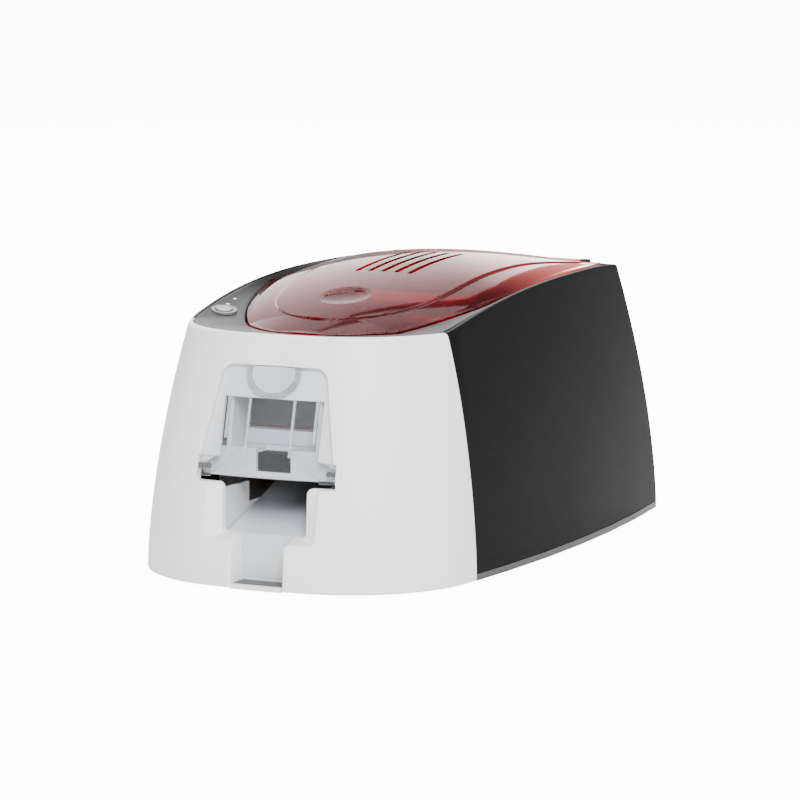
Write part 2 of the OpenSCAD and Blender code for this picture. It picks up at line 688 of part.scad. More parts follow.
module print_head() color("#b9bcc0") {
    difference() {
        box([-head_half_w, head_y0 + 1, head_foot_z + 4], [head_half_w, head_y1 - 1, head_foot_z + 26]);
        for (i = [0:4])
            box([-head_half_w - cut, head_y0 + 2.2 + i * 2.6, head_foot_z + 10],
                [head_half_w + cut, head_y0 + 3.6 + i * 2.6, head_foot_z + 24]);
    }
    box([-head_half_w, platen_y - 2.5, head_foot_z], [head_half_w, platen_y + 2.5, head_foot_z + 4]);
}

// ---- Feeder cover ----
cover_mid_z = 66.5;
cover_ear_z = 65.2;
rib_t = 1.6;
rib_depth = 1.2;
ear_x = 36.4;
module feeder_cover() color([0.85, 0.9, 0.93, 0.4]) difference() {
    union() {
        intersection() {
            difference() {
                body_loft(60, 132, 0);
                body_loft(58, 134, cover_t);
            }
            cover_prism(cover_ear_z, 0);
        }
        intersection() {
            difference() {
                body_loft(60, 132, cover_t - lap);
                body_loft(58, 134, cover_t + rib_depth);
            }
            for (x = [-29, -14.5, 14.5, 29])
                box([x - rib_t / 2, -body_l, abs(x) > 20 ? 88 : 79], [x + rib_t / 2, 0, 112]);
        }
        for (s = [-1, 1])
            rod_x(s * 41.5 - 2.6, s * 41.5 + 2.6, cover_axis[1], cover_axis[2], cover_pin_r + 1.5);
        intersection() {
            dish_ball(dish_wall);
            body_loft(60, 132, cover_t / 2);
            cover_prism(cover_ear_z, 0);
        }
    }
    box([-ear_x, -body_l, 60], [ear_x, 0, cover_mid_z]);
    dish_ball(0);
    for (s = [-1, 1])
        rod_x(s * 41.5 - 4, s * 41.5 + 4, cover_axis[1], cover_axis[2], cover_pin_r + 0.05);
}

module feeder_cover_pins() color("#2a2a2c") for (s = [-1, 1])
    rod_x(s * (bush_x - 2) - 5, s * (bush_x - 2) + 5, cover_axis[1], cover_axis[2], cover_pin_r);

// Bushes that sit in the side walls of the cover's pocket
bush_x = cover_half_w + pocket_gap;
module feeder_cover_bushes() color("#d8dadc") for (s = [-1, 1]) difference() {
    rod_x(s * (bush_x + 1.6) - 1.5, s * (bush_x + 1.6) + 1.5, cover_axis[1], cover_axis[2], cover_bush_r);
    rod_x(s * (bush_x + 1.6) - 4, s * (bush_x + 1.6) + 4, cover_axis[1], cover_axis[2], cover_pin_r + run_clear);
}

// ---- Feeder tray, hopper and cards ----
tray_front_y = front_y(feed_z) + 11.5;
tray_wall_x = card_w / 2 + 1.2;
tray_floor_t = 3;
stack_y = front_y(feed_z) + 28;
notch_half_w = 11.5;
notch_z = 68;

module feeder_tray() color("#e2e5e8") difference() {
    union() {
        box([-tray_wall_x - 2.8, tray_front_y, feed_z - tray_floor_t],
            [tray_wall_x + 2.8, stack_y + card_l + 2, feed_z]);
        for (s = [-1, 1])
            along_x(s < 0 ? -tray_wall_x - 2.8 : tray_wall_x, s < 0 ? -tray_wall_x : tray_wall_x + 2.8)
                polygon([[tray_front_y, feed_z - tray_floor_t], [tray_front_y, feed_z + 2],
                         [front_y(mouth_top_z) + pocket_depth + wall_t + 2.4, mouth_top_z],
                         [stack_y + card_l - 20, mouth_top_z], [stack_y + card_l - 20, feed_z - tray_floor_t]]);
        box([-bush_x - 1, tray_front_y, shoulder_z + 3], [bush_x + 1, tray_front_y + 2.4, feed_z]);
        for (s = [-1, 1])
            box([s < 0 ? -chassis_half_w : tray_wall_x, stack_y + 4, feed_z - tray_floor_t],
                [s < 0 ? -tray_wall_x : chassis_half_w, stack_y + 16, feed_z]);
    }
    box([-notch_half_w, -body_l, notch_z], [notch_half_w, stack_y - 3, feed_z + cut]);
    box([-pick_half_w - 1.5, pick_y - roller_r - 1.5, 0], [pick_half_w + 1.5, pick_y + roller_r + 1.5, feed_z + cut]);
    box([-roller_half_w - 1.5, pick_y + roller_pitch - roller_r - 1.5, 0],
        [roller_half_w + 1.5, body_l, feed_z + cut]);
}

card_gap = 0.04;
module blank_cards() color("#dfe7ef")
    for (i = [0:blank_count - 1])
        translate([-card_w / 2, stack_y, feed_z + 0.25 + i * (card_t + card_gap)]) cube([card_w, card_l, card_t]);

// The printed cards lie on a ramp, their front edges against the front cover's ledges
output_front_y = ledge_back_y + 0.3;
output_top_front_z = 32.2;
output_pitch = (card_t + card_gap) / cos(output_slope);
output_run = card_l * cos(output_slope);
output_rise = card_l * sin(output_slope);
output_floor_z = output_top_front_z - printed_count * output_pitch - 0.25;
module output_cards() color("#e9eef2")
    for (i = [0:printed_count - 1]) {
        z = output_top_front_z - i * output_pitch;
        t = card_t / cos(output_slope);
        along_x(-card_w / 2, card_w / 2)
            polygon([[output_front_y, z], [output_front_y, z - t],
                     [output_front_y + output_run, z - t + output_rise], [output_front_y + output_run, z + output_rise]]);
    }

hopper_t = 2.6;
hopper_wall_end_y = front_y(feed_z) + 34;
module output_hopper() color("#dfe2e5") difference() {
    union() {
        along_x(-throat_half_w - hopper_t, throat_half_w + hopper_t)
            polygon([[output_front_y, tray_top], [output_front_y, output_floor_z],
                     [output_front_y + output_run, output_floor_z + output_rise],
                     [output_front_y + output_run + 8, output_floor_z + output_rise + 2],
                     [output_front_y + output_run + 8, output_floor_z + output_rise - 1],
                     [output_front_y + output_run, output_floor_z + output_rise - 3.2],
                     [output_front_y + 10, tray_top]]);
        for (s = [-1, 1])
            along_x(s < 0 ? -throat_half_w - hopper_t : throat_half_w, s < 0 ? -throat_half_w : throat_half_w + hopper_t)
                polygon([[output_front_y, tray_top], [output_front_y, shoulder_z - 4], [hopper_wall_end_y, shoulder_z - 4],
                         [hopper_wall_end_y, 45], [output_front_y + output_run, 45], [output_front_y + output_run, tray_top]]);
    }
    box([-finger_half_w, -body_l, 0], [finger_half_w, output_front_y + 0.01, 99]);
}

// Flap that turns a finished card down into the hopper
flap_y = pick_y + roller_pitch - roller_r - 4;
flap_z = roller_z - 1;
flap_pin_r = 2;
module card_flap() color("#6a6c70") {
    rod_x(-chassis_half_w - plate_t, chassis_half_w + plate_t, flap_y, flap_z, flap_pin_r);
    along_x(-card_w / 2, card_w / 2)
        polygon([[flap_y - 1.2, flap_z + 1.4], [flap_y + 1.4, flap_z + 1.2], [flap_y - 11, flap_z - 4.6],
                 [flap_y - 11.6, flap_z - 3.2]]);
}

// ---- Chassis, rollers and gears ----
roller_half_w = 30;
pick_half_w = 14;
bush_r = 5;
bush_w = plate_t + 3;
gear_x = chassis_half_w + plate_t + 2.5;
roller_ys = [for (i = [0:3]) pick_y + i * roller_pitch];
idler_ys = [for (i = [0:2]) pick_y + (i + 0.5) * roller_pitch];
pinion_drop = gear_m * (idler_teeth + pinion_teeth) / 2;
pinion_at = [idler_ys[1], roller_z - pinion_drop];
stud_r = 2.5;
motor_shaft_r = 2.5;
motor_boss_r = 11;
backlash = 0.22;

function gear_outline(n) =
    let(rp = gear_m * n / 2, half = gear_m * (PI / 4 - backlash / 2))
    [for (i = [0:n - 1], p = [[-1.12, -1], [0.92, -1], [0.92, 1], [-1.12, 1]])
     let(r = rp + gear_m * p[0], w = half - tan(20) * gear_m * p[0] * (p[0] < 0 && n < 20 ? 0.45 : 1),
         a = 360 * i / n + p[1] * w / r * 180 / PI) r * [cos(a), sin(a)]];

module gear(n, y, z, turn, bore) translate([gear_x, y, z]) rotate([90, 0, 90]) rotate([0, 0, turn])
    linear_extrude(gear_w) difference() {
        polygon(gear_outline(n));
        circle(r = bore);
        if (n > 30) for (a = [30:60:330]) rotate(a) translate([gear_m * n / 3.4, 0]) circle(r = gear_m * n / 11);
    }

module chassis_plate(s) {
    x0 = s < 0 ? -chassis_half_w - plate_t : chassis_half_w;
    difference() {
        union() {
            along_x(x0, x0 + plate_t) difference() {
                polygon([[chassis_front_y, tray_top], [chassis_rear_y, tray_top], [chassis_rear_y, 110],
                         [cassette_rear_y + 2, 110], [cassette_rear_y + 2, 100],
                         [cassette_front_y - 2, 100], [cassette_front_y - 4, hook_foot_z + 12],
                         [cassette_front_y - 24, hook_foot_z + 12], [chassis_front_y + 22, 118],
                         [chassis_front_y, 118]]);
                for (y = roller_ys) translate([y, roller_z]) circle(r = bush_r + 0.05);
                translate([flap_y, flap_z]) circle(r = flap_pin_r + run_clear);
                translate(pinion_at) circle(r = motor_boss_r + 0.2);
                for (y = [chassis_front_y + 40, chassis_front_y + 190]) translate([y, 15]) square([45, 22]);
            }
            box([s < 0 ? x0 - 12 : x0, chassis_front_y, tray_top],
                [s < 0 ? x0 + plate_t : x0 + plate_t + 12, chassis_rear_y, tray_top + plate_t]);
        }
        at_screws() translate([0, 0, tray_top - cut]) cylinder(h = plate_t + 2 * cut, r = screw_r + 0.1);
    }
}
module left_chassis_plate() color("silver") chassis_plate(-1);
module right_chassis_plate() color("silver") chassis_plate(1);

module roller_rubber(i, half) difference() {
    rod_x(-half, half, roller_ys[i], roller_z, roller_r);
    rod_x(-half - cut, half + cut, roller_ys[i], roller_z, shaft_r + 0.02);
}
module pick_roller_rubber() color("#222224") roller_rubber(0, pick_half_w);
module entry_roller_rubber() color("#222224") roller_rubber(1, roller_half_w);
module platen_roller_rubber() color("#222224") roller_rubber(2, roller_half_w);
module rear_roller_rubber() color("#222224") roller_rubber(3, roller_half_w);

module roller_shaft(i)
    rod_x(-chassis_half_w - plate_t - 2, gear_x + gear_w + 1, roller_ys[i], roller_z, shaft_r);
module pick_shaft() color("silver") roller_shaft(0);
module entry_shaft() color("silver") roller_shaft(1);
module platen_shaft() color("silver") roller_shaft(2);
module rear_shaft() color("silver") roller_shaft(3);

module roller_bushes() color("#c8b060") for (s = [-1, 1], y = roller_ys) difference() {
    union() {
        rod_x(s * (chassis_half_w + plate_t / 2) - bush_w / 2 + 0.5, s * (chassis_half_w + plate_t / 2) + bush_w / 2 - 0.5,
              y, roller_z, bush_r);
        rod_x(s < 0 ? -chassis_half_w : chassis_half_w - 1, s < 0 ? -chassis_half_w + 1 : chassis_half_w,
              y, roller_z, bush_r + 1.2);
    }
    rod_x(s * chassis_half_w - 9, s * chassis_half_w + 9, y, roller_z, shaft_r + run_clear);
}

roller_bore = shaft_r + 0.02;
module pick_gear() color("#e8e4d8") gear(roller_teeth, roller_ys[0], roller_z, 0, roller_bore);
module entry_gear() color("#e8e4d8") gear(roller_teeth, roller_ys[1], roller_z, 0, roller_bore);
module platen_gear() color("#e8e4d8") gear(roller_teeth, roller_ys[2], roller_z, 0, roller_bore);
module rear_gear() color("#e8e4d8") gear(roller_teeth, roller_ys[3], roller_z, 0, roller_bore);

idler_turn = 180 / idler_teeth;
module idler_gear(i) gear(idler_teeth, idler_ys[i], roller_z, idler_turn, stud_r + run_clear);
module front_idler_gear() color("#efe9da") idler_gear(0);
module middle_idler_gear() color("#efe9da") idler_gear(1);
module rear_idler_gear() color("#efe9da") idler_gear(2);

module idler_studs() color("silver") for (y = idler_ys) {
    rod_x(chassis_half_w + plate_t, gear_x + gear_w + 0.4, y, roller_z, stud_r);
    rod_x(chassis_half_w + plate_t, gear_x - 0.4, y, roller_z, stud_r + 2);
    rod_x(gear_x + gear_w + 0.4, gear_x + gear_w + 1.4, y, roller_z, stud_r + 1.5);
}

drive_pinion_turn = 180 / pinion_teeth;
module motor(y, z, shaft_hole) {
    h = motor_side / 2;
    difference() {
        union() {
            box([chassis_half_w - 26, y - h, z - h], [chassis_half_w, y + h, z + h]);
            rod_x(chassis_half_w, chassis_half_w + plate_t, y, z, motor_boss_r);
        }
        rod_x(chassis_half_w - 12, chassis_half_w + 9, y, z, shaft_hole);
    }
}
module motor_shaft(y, z) rod_x(chassis_half_w - 11, gear_x + gear_w, y, z, motor_shaft_r);
module drive_motor() color("#3a3b3f") motor(pinion_at[0], pinion_at[1], motor_shaft_r + run_clear);
module drive_motor_shaft() color("silver") motor_shaft(pinion_at[0], pinion_at[1]);
module drive_pinion() color("#c8b060")
    gear(pinion_teeth, pinion_at[0], pinion_at[1], drive_pinion_turn, motor_shaft_r + 0.02);

// ---- Ribbon ----
take_up_y = platen_y - 77;
supply_y = platen_y + 66;
take_up_z = 116;
supply_z = 118;
cassette_front_y = take_up_y - 20;
cassette_rear_y = supply_y + 20;
cassette_x = chassis_half_w - 5.5;
rail_t = 2.6;
rail_foot_z = 100;
journal_r = 4;
spool_half = card_w / 2 + 3;
flange_t2 = 1.5;

module ribbon_cassette() color("#2e2f33") {
    for (s = [-1, 1]) difference() {
        x0 = s < 0 ? -cassette_x - rail_t : cassette_x;
        along_x(x0, x0 + rail_t)
            polygon([[cassette_front_y, rail_foot_z], [cassette_rear_y, rail_foot_z], [cassette_rear_y, 128],
                     [supply_y - 14, 132], [supply_y - 26, 110], [take_up_y + 24, 110], [take_up_y + 12, 128],
                     [cassette_front_y, 126]]);
        for (p = [[take_up_y, take_up_z], [supply_y, supply_z]])
            rod_x(x0 - cut, x0 + rail_t + cut, p[0], p[1], journal_r + run_clear);
    }
    for (y = [cassette_front_y, cassette_rear_y - 3])
        box([-cassette_x - lap, y, rail_foot_z + 1], [cassette_x + lap, y + 3, rail_foot_z + 22]);
    // Feet that rest on the chassis plates
    for (s = [-1, 1], y = [cassette_front_y + 2, cassette_rear_y - 10])
        box([s < 0 ? -chassis_half_w - plate_t : cassette_x, y, rail_foot_z],
            [s < 0 ? -cassette_x : chassis_half_w + plate_t, y + 8, rail_foot_z + 3]);
}

module spool(y, z, roll_r, gear_side) {
    rod_x(-spool_half, spool_half, y, z, roll_r);
    for (s = [-1, 1])
        rod_x(s < 0 ? -spool_half - flange_t2 : spool_half, s < 0 ? -spool_half : spool_half + flange_t2,
              y, z, spool_flange_r);
    rod_x(-cassette_x - rail_t, gear_side, y, z, journal_r);
}
module supply_spool() color("#1d1d20") spool(supply_y, supply_z, supply_roll_r, cassette_x + rail_t);
module take_up_spool() color("#1d1d20") spool(take_up_y, take_up_z, used_roll_r, gear_x + gear_w);

// The film runs from the supply roll, under the print head and up to the used roll
film_dip_z = feed_z + card_t + 0.4;
module ribbon_film() color("#27272c")
    along_x(-card_w / 2, card_w / 2)
        polygon([[supply_y - supply_roll_r - fit_gap, supply_z], [platen_y + 12, film_dip_z + 0.9],
                 [platen_y + 4, film_dip_z], [platen_y - 4, film_dip_z], [platen_y - 12, film_dip_z + 0.9],
                 [take_up_y + used_roll_r + fit_gap, take_up_z],
                 [take_up_y + used_roll_r + fit_gap + ribbon_t, take_up_z],
                 [platen_y - 12, film_dip_z + 0.9 + ribbon_t * 1.4], [platen_y - 4, film_dip_z + ribbon_t],
                 [platen_y + 4, film_dip_z + ribbon_t], [platen_y + 12, film_dip_z + 0.9 + ribbon_t * 1.4],
                 [supply_y - supply_roll_r - fit_gap - ribbon_t, supply_z]]);

take_up_teeth = 36;
ribbon_pinion_teeth = 12;
ribbon_motor_at = [take_up_y - gear_m * (take_up_teeth + ribbon_pinion_teeth) / 2, take_up_z];
module take_up_gear() color("#efe9da") gear(take_up_teeth, take_up_y, take_up_z, 0, journal_r + 0.02);
module ribbon_motor() color("#3a3b3f") difference() {
    union() {
        rod_x(gear_x + gear_w + 2, gear_x + gear_w + 24, ribbon_motor_at[0], ribbon_motor_at[1], 12);
        for (dz = [-6, 6])
            rod_x(chassis_half_w + plate_t, gear_x + gear_w + 3, ribbon_motor_at[0] - 9.5, ribbon_motor_at[1] + dz, 2);
    }
    rod_x(gear_x + gear_w + 1, gear_x + gear_w + 10, ribbon_motor_at[0], ribbon_motor_at[1], 1.5 + run_clear);
}
module ribbon_pinion() color("#c8b060") {
    gear(ribbon_pinion_teeth, ribbon_motor_at[0], ribbon_motor_at[1], 180 / ribbon_pinion_teeth, 1.5);
    rod_x(gear_x, gear_x + gear_w + 9, ribbon_motor_at[0], ribbon_motor_at[1], 1.5);
}

// ---- Electronics ----
board_post_r = 3.2;
board_post_xs = [-66, 66];
board_post_ys = [body_l / 2 - 66, body_l / 2 - 18];
board_y0 = body_l / 2 - 72;
board_y1 = body_l / 2 - 11;
module main_board() color("#1f5c3a") {
    box([-72, board_y0, board_z], [72, board_y1, board_z + board_t]);
    for (p = [[-30, 20, 14, 3], [10, 16, 18, 2.4], [45, 22, 10, 8]])
        box([p[0], board_y0 + 12, board_z + board_t], [p[0] + p[1], board_y0 + 12 + p[2], board_z + board_t + p[3]]);
}
module power_socket() color("#1c1c1e") difference() {
    box([power_x - power_w / 2, board_y1 - 10, socket_z], [power_x + power_w / 2, rear_y(socket_z + power_h) - 0.4, socket_z + power_h]);
    translate([power_x, body_l / 2, socket_z + power_h / 2]) rotate([90, 0, 0]) cylinder(h = 13, r = 3.2);
}
module usb_socket() color("#c9ccd0") difference() {
    box([usb_x - usb_w / 2, board_y1 - 12, socket_z], [usb_x + usb_w / 2, rear_y(socket_z + usb_h) - 0.4, socket_z + usb_h]);
    box([usb_x - usb_w / 2 + 1.6, board_y1 - 4, socket_z + 1.6], [usb_x + usb_w / 2 - 1.6, body_l, socket_z + usb_h - 1.6]);
}

base_tray();
rubber_feet();
front_cover();
left_side_cover();
right_side_cover();
rear_panel();
top_bezel();
lid();
lid_hinge_tube();
lid_hinge_pins();
lid_latch_hook();
latch_catch_bar();
print_head_carrier();
print_head();
feeder_cover();
feeder_cover_pins();
feeder_cover_bushes();
feeder_tray();
blank_cards();
output_hopper();
output_cards();
control_button();
button_ring();
button_switch_board();
indicator_lights();
left_chassis_plate();
right_chassis_plate();
pick_roller_rubber();
entry_roller_rubber();
platen_roller_rubber();
rear_roller_rubber();
pick_shaft();
entry_shaft();
platen_shaft();
rear_shaft();
roller_bushes();
pick_gear();
entry_gear();
platen_gear();
rear_gear();
front_idler_gear();
middle_idler_gear();
rear_idler_gear();
idler_studs();
drive_motor();
drive_motor_shaft();
drive_pinion();
ribbon_cassette();
supply_spool();
take_up_spool();
ribbon_film();
take_up_gear();
ribbon_motor();
ribbon_pinion();
card_flap();
main_board();
power_socket();
usb_socket();
base_screws();
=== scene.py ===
"""Looks of a desktop card printer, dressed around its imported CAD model."""
import json
import logging
import math
from dataclasses import dataclass, field
from enum import Enum
from typing import Any, Sequence

import bmesh
import bpy
from mathutils import Matrix, Vector


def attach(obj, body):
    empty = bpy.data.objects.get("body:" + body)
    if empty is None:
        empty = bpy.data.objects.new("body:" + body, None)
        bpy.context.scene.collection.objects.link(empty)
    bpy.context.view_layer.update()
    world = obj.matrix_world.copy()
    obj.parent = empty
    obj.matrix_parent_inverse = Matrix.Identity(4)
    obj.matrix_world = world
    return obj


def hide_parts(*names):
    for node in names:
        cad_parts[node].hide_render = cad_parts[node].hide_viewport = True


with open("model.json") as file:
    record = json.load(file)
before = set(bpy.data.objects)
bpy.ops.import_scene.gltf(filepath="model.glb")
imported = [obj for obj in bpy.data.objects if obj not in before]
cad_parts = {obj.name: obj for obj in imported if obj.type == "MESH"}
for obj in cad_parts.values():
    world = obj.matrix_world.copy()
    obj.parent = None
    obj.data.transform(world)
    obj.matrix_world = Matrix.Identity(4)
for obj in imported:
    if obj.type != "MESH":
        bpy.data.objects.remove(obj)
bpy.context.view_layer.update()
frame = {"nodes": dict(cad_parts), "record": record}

MM = 0.001
LOG = logging.getLogger("card_printer")

Point2 = tuple[float, float]
Point3 = tuple[float, float, float]
Colour = tuple[float, float, float]


# ---- Shader maths -------------------------------------------------------------------


class Operation(Enum):
    """Math node operations used by the finishes."""

    ADD = "ADD"
    SUBTRACT = "SUBTRACT"
    MULTIPLY = "MULTIPLY"
    DIVIDE = "DIVIDE"
    POWER = "POWER"
    LESS = "LESS_THAN"
    GREATER = "GREATER_THAN"


class Value:
    """A shader socket that takes part in Python expressions."""

    def __init__(self, graph: "ShaderGraph", socket: Any) -> None:
        """Wraps one output socket of a graph."""
        self.graph = graph
        self.socket = socket

    def _combine(self, operation: Operation, first: Any, second: Any = None) -> "Value":
        """Adds the Math node for one operator."""
        return self.graph.maths(operation, first, second)

    def __add__(self, other: Any) -> "Value":
        """self + other."""
        return self._combine(Operation.ADD, self, other)

    def __radd__(self, other: Any) -> "Value":
        """other + self."""
        return self._combine(Operation.ADD, other, self)

    def __sub__(self, other: Any) -> "Value":
        """self - other."""
        return self._combine(Operation.SUBTRACT, self, other)

    def __rsub__(self, other: Any) -> "Value":
        """other - self."""
        return self._combine(Operation.SUBTRACT, other, self)

    def __mul__(self, other: Any) -> "Value":
        """self * other."""
        return self._combine(Operation.MULTIPLY, self, other)

    def __rmul__(self, other: Any) -> "Value":
        """other * self."""
        return self._combine(Operation.MULTIPLY, other, self)

    def __truediv__(self, other: Any) -> "Value":
        """self / other."""
        return self._combine(Operation.DIVIDE, self, other)

    def __rtruediv__(self, other: Any) -> "Value":
        """other / self."""
        return self._combine(Operation.DIVIDE, other, self)

    def __pow__(self, other: Any) -> "Value":
        """self ** other."""
        return self._combine(Operation.POWER, self, other)

    def __lt__(self, other: Any) -> "Value":
        """1 where self is below other."""
        return self._combine(Operation.LESS, self, other)

    def __gt__(self, other: Any) -> "Value":
        """1 where self is above other."""
        return self._combine(Operation.GREATER, self, other)


class ShaderGraph:
    """Builds one node material."""

    def __init__(self, name: str) -> None:
        """Starts an empty material.

        Args:
            name: name of the finish.
        """
        self.material = bpy.data.materials.new(name)
        self.material.use_nodes = True
        self.tree = self.material.node_tree
        self.tree.nodes.clear()
        self.output = self.tree.nodes.new("ShaderNodeOutputMaterial")

    @classmethod
    def of(cls, tree: bpy.types.NodeTree) -> "ShaderGraph":
        """Wraps a node tree that is there already."""
        graph = cls.__new__(cls)
        graph.tree = tree
        return graph

    def node(self, kind: str, settings: dict[str, Any] | None = None,
             inputs: dict[Any, Any] | None = None) -> bpy.types.Node:
        """Adds a node.

        Args:
            kind: the node's type name.
            settings: properties set first; "stops" fills a colour ramp.
            inputs: values or links, by socket name or number.

        Returns:
            The new node.
        """
        made = self.tree.nodes.new(kind)
        for key, value in (settings or {}).items():
            if key == "stops":
                self._fill_ramp(made.color_ramp, value)
            else:
                setattr(made, key, value)
        for key, value in (inputs or {}).items():
            self.plug(made.inputs[key], value)
        return made

    @staticmethod
    def _fill_ramp(ramp: Any, stops: Sequence[tuple[float, Colour]]) -> None:
        """Sets a colour ramp's stops."""
        while len(ramp.elements) < len(stops):
            ramp.elements.new(0.5)
        for element, (place, colour) in zip(ramp.elements, stops):
            element.position = place
            element.color = (*colour, 1.0)

    def plug(self, socket: Any, value: Any) -> None:
        """Links or sets one input socket.

        Args:
            socket: the input.
            value: a Value, an output socket or a constant.
        """
        if isinstance(value, Value):
            self.tree.links.new(value.socket, socket)
        elif isinstance(value, bpy.types.NodeSocket):
            self.tree.links.new(value, socket)
        elif isinstance(value, tuple) and len(value) == 3 and socket.type == "RGBA":
            socket.default_value = (*value, 1.0)
        else:
            socket.default_value = value

    def maths(self, operation: Operation, first: Any, second: Any = None) -> Value:
        """Adds a Math node and returns its result."""
        inputs = {0: first} if second is None else {0: first, 1: second}
        return Value(self, self.node("ShaderNodeMath", {"operation": operation.value}, inputs).outputs[0])

    def place(self) -> Any:
        """Object coordinates."""
        return self.node("ShaderNodeTexCoord").outputs["Object"]

    def noise(self, scale: float, detail: float = 2.0, roughness: float = 0.5,
              stretch: Point3 | None = None) -> Value:
        """Noise over the surface, about 0.5.

        Args:
            scale: pattern frequency per metre.
            detail: octaves.
            roughness: how strong the fine octaves are.
            stretch: scale by axis, for drawn-out patterns.

        Returns:
            The noise as a number.
        """
        place = self.place()
        if stretch:
            place = self.node("ShaderNodeMapping", None, {"Vector": place, "Scale": stretch}).outputs[0]
        made = self.node("ShaderNodeTexNoise", None,
                         {"Vector": place, "Scale": scale, "Detail": detail, "Roughness": roughness})
        return Value(self, made.outputs[0])

    def blend(self, factor: Any, first: Any, second: Any) -> Any:
        """Mixes two colours.

        Args:
            factor: share of the second colour.
            first: colour at 0.
            second: colour at 1.

        Returns:
            The mixed colour's socket.
        """
        made = self.node("ShaderNodeMix", {"data_type": "RGBA"})
        self.plug(made.inputs[0], factor)
        self.plug(made.inputs[6], first)
        self.plug(made.inputs[7], second)
        return made.outputs[2]

    def bump(self, height: Value, distance: float, strength: float = 1.0) -> Any:
        """A Bump node's normal.

        Args:
            height: the relief, 0 to 1.
            distance: its depth in metres.
            strength: how much of it shows.

        Returns:
            The normal's socket.
        """
        return self.node("ShaderNodeBump", None,
                         {"Height": height, "Distance": distance, "Strength": strength}).outputs[0]

    def finish(self, shader: Any) -> bpy.types.Material:
        """Joins a shader to the output."""
        self.tree.links.new(shader, self.output.inputs["Surface"])
        return self.material


# ---- Finishes -----------------------------------------------------------------------


@dataclass(frozen=True)
class Finish:
    """What every finish shares: a name and one material, made on first use."""

    name: str

    def material(self) -> bpy.types.Material:
        """The finish's material, built once."""
        return bpy.data.materials.get(self.name) or self.build()

    def build(self) -> bpy.types.Material:
        """Builds the material."""
        raise NotImplementedError


@dataclass(frozen=True)
class MouldedPlastic(Finish):
    """Moulded plastic with a fine grain and slight unevenness of tone."""

    colour: Colour = (0.8, 0.8, 0.8)
    roughness: float = 0.45
    grain: float = 2400.0
    depth: float = 0.00003
    mottle: float = 0.06
    gloss: float = 0.5
    coat: float = 0.0

    def build(self) -> bpy.types.Material:
        """Builds the grained plastic."""
        graph = ShaderGraph(self.name)
        cloud = graph.noise(14.0, 3.0)
        grain = graph.noise(self.grain, 2.0, 0.6)
        darker = tuple(c * (1.0 - self.mottle) for c in self.colour)
        tone = graph.blend(cloud * 0.7 + grain * 0.3, darker, self.colour)
        rough = cloud * 0.08 + grain * 0.06 + (self.roughness - 0.07)
        shader = graph.node("ShaderNodeBsdfPrincipled", None, {
            "Base Color": tone, "Roughness": rough, "Specular IOR Level": self.gloss,
            "Coat Weight": self.coat, "Coat Roughness": 0.15,
            "Normal": graph.bump(grain, self.depth)})
        return graph.finish(shader.outputs[0])


@dataclass(frozen=True)
class TintedClear(Finish):
    """Clear plastic: light passes through it tinted, and its faces mirror at a low angle; along one direction its skin
    can carry a painted light.
    """

    tint: Colour = (0.9, 0.9, 0.9)
    skin: Colour = (0.8, 0.8, 0.8)
    body: float = 0.1
    edge: float = 0.7
    roughness: float = 0.05
    ripple: float = 0.00004
    coat: float = 1.0
    gloss: float = 0.5
    # painted light: its colour, its strength, the direction it grows along and the span of that ramp
    painted_light: Colour = (1.0, 1.0, 1.0)
    painted_light_share: float = 0.0
    painted_light_way: Point3 = (0.6, 0.9, 0.0)
    painted_light_span: Point2 = (0.02, 0.17)
    fall: float = 2.6

    def build(self) -> bpy.types.Material:
        """Builds the clear plastic."""
        graph = ShaderGraph(self.name)
        waves = graph.noise(22.0, 2.0)
        normal = graph.bump(waves, self.ripple)
        haze = graph.noise(60.0, 3.0)
        clear = graph.node("ShaderNodeBsdfTransparent", None, {"Color": self.tint})
        # painted light: along one direction the skin blends to a lighter colour and grows more opaque
        along = graph.node("ShaderNodeVectorMath", {"operation": "DOT_PRODUCT"},
                           {0: graph.place(), 1: self.painted_light_way}).outputs["Value"]
        painted_light_mask = Value(graph, graph.node("ShaderNodeMapRange", {"interpolation_type": "SMOOTHSTEP"}, {
            "Value": along, "From Min": self.painted_light_span[0], "From Max": self.painted_light_span[1]}).outputs[0])
        painted_light_mask *= self.painted_light_share
        tone = graph.blend(haze, tuple(c * 0.9 for c in self.skin), self.skin)
        skin = graph.node("ShaderNodeBsdfPrincipled", None, {
            "Base Color": graph.blend(painted_light_mask, tone, self.painted_light),
            "Roughness": haze * 0.03 + self.roughness, "Specular IOR Level": self.gloss,
            "Coat Weight": self.coat, "Coat Roughness": 0.03, "Normal": normal})
        facing = Value(graph, graph.node("ShaderNodeLayerWeight", None,
                                         {"Blend": 0.5, "Normal": normal}).outputs["Facing"])
        share = facing ** self.fall * self.edge + painted_light_mask * 0.7 + self.body
        mixed = graph.node("ShaderNodeMixShader", None, {0: share, 1: clear.outputs[0], 2: skin.outputs[0]})
        return graph.finish(mixed.outputs[0])


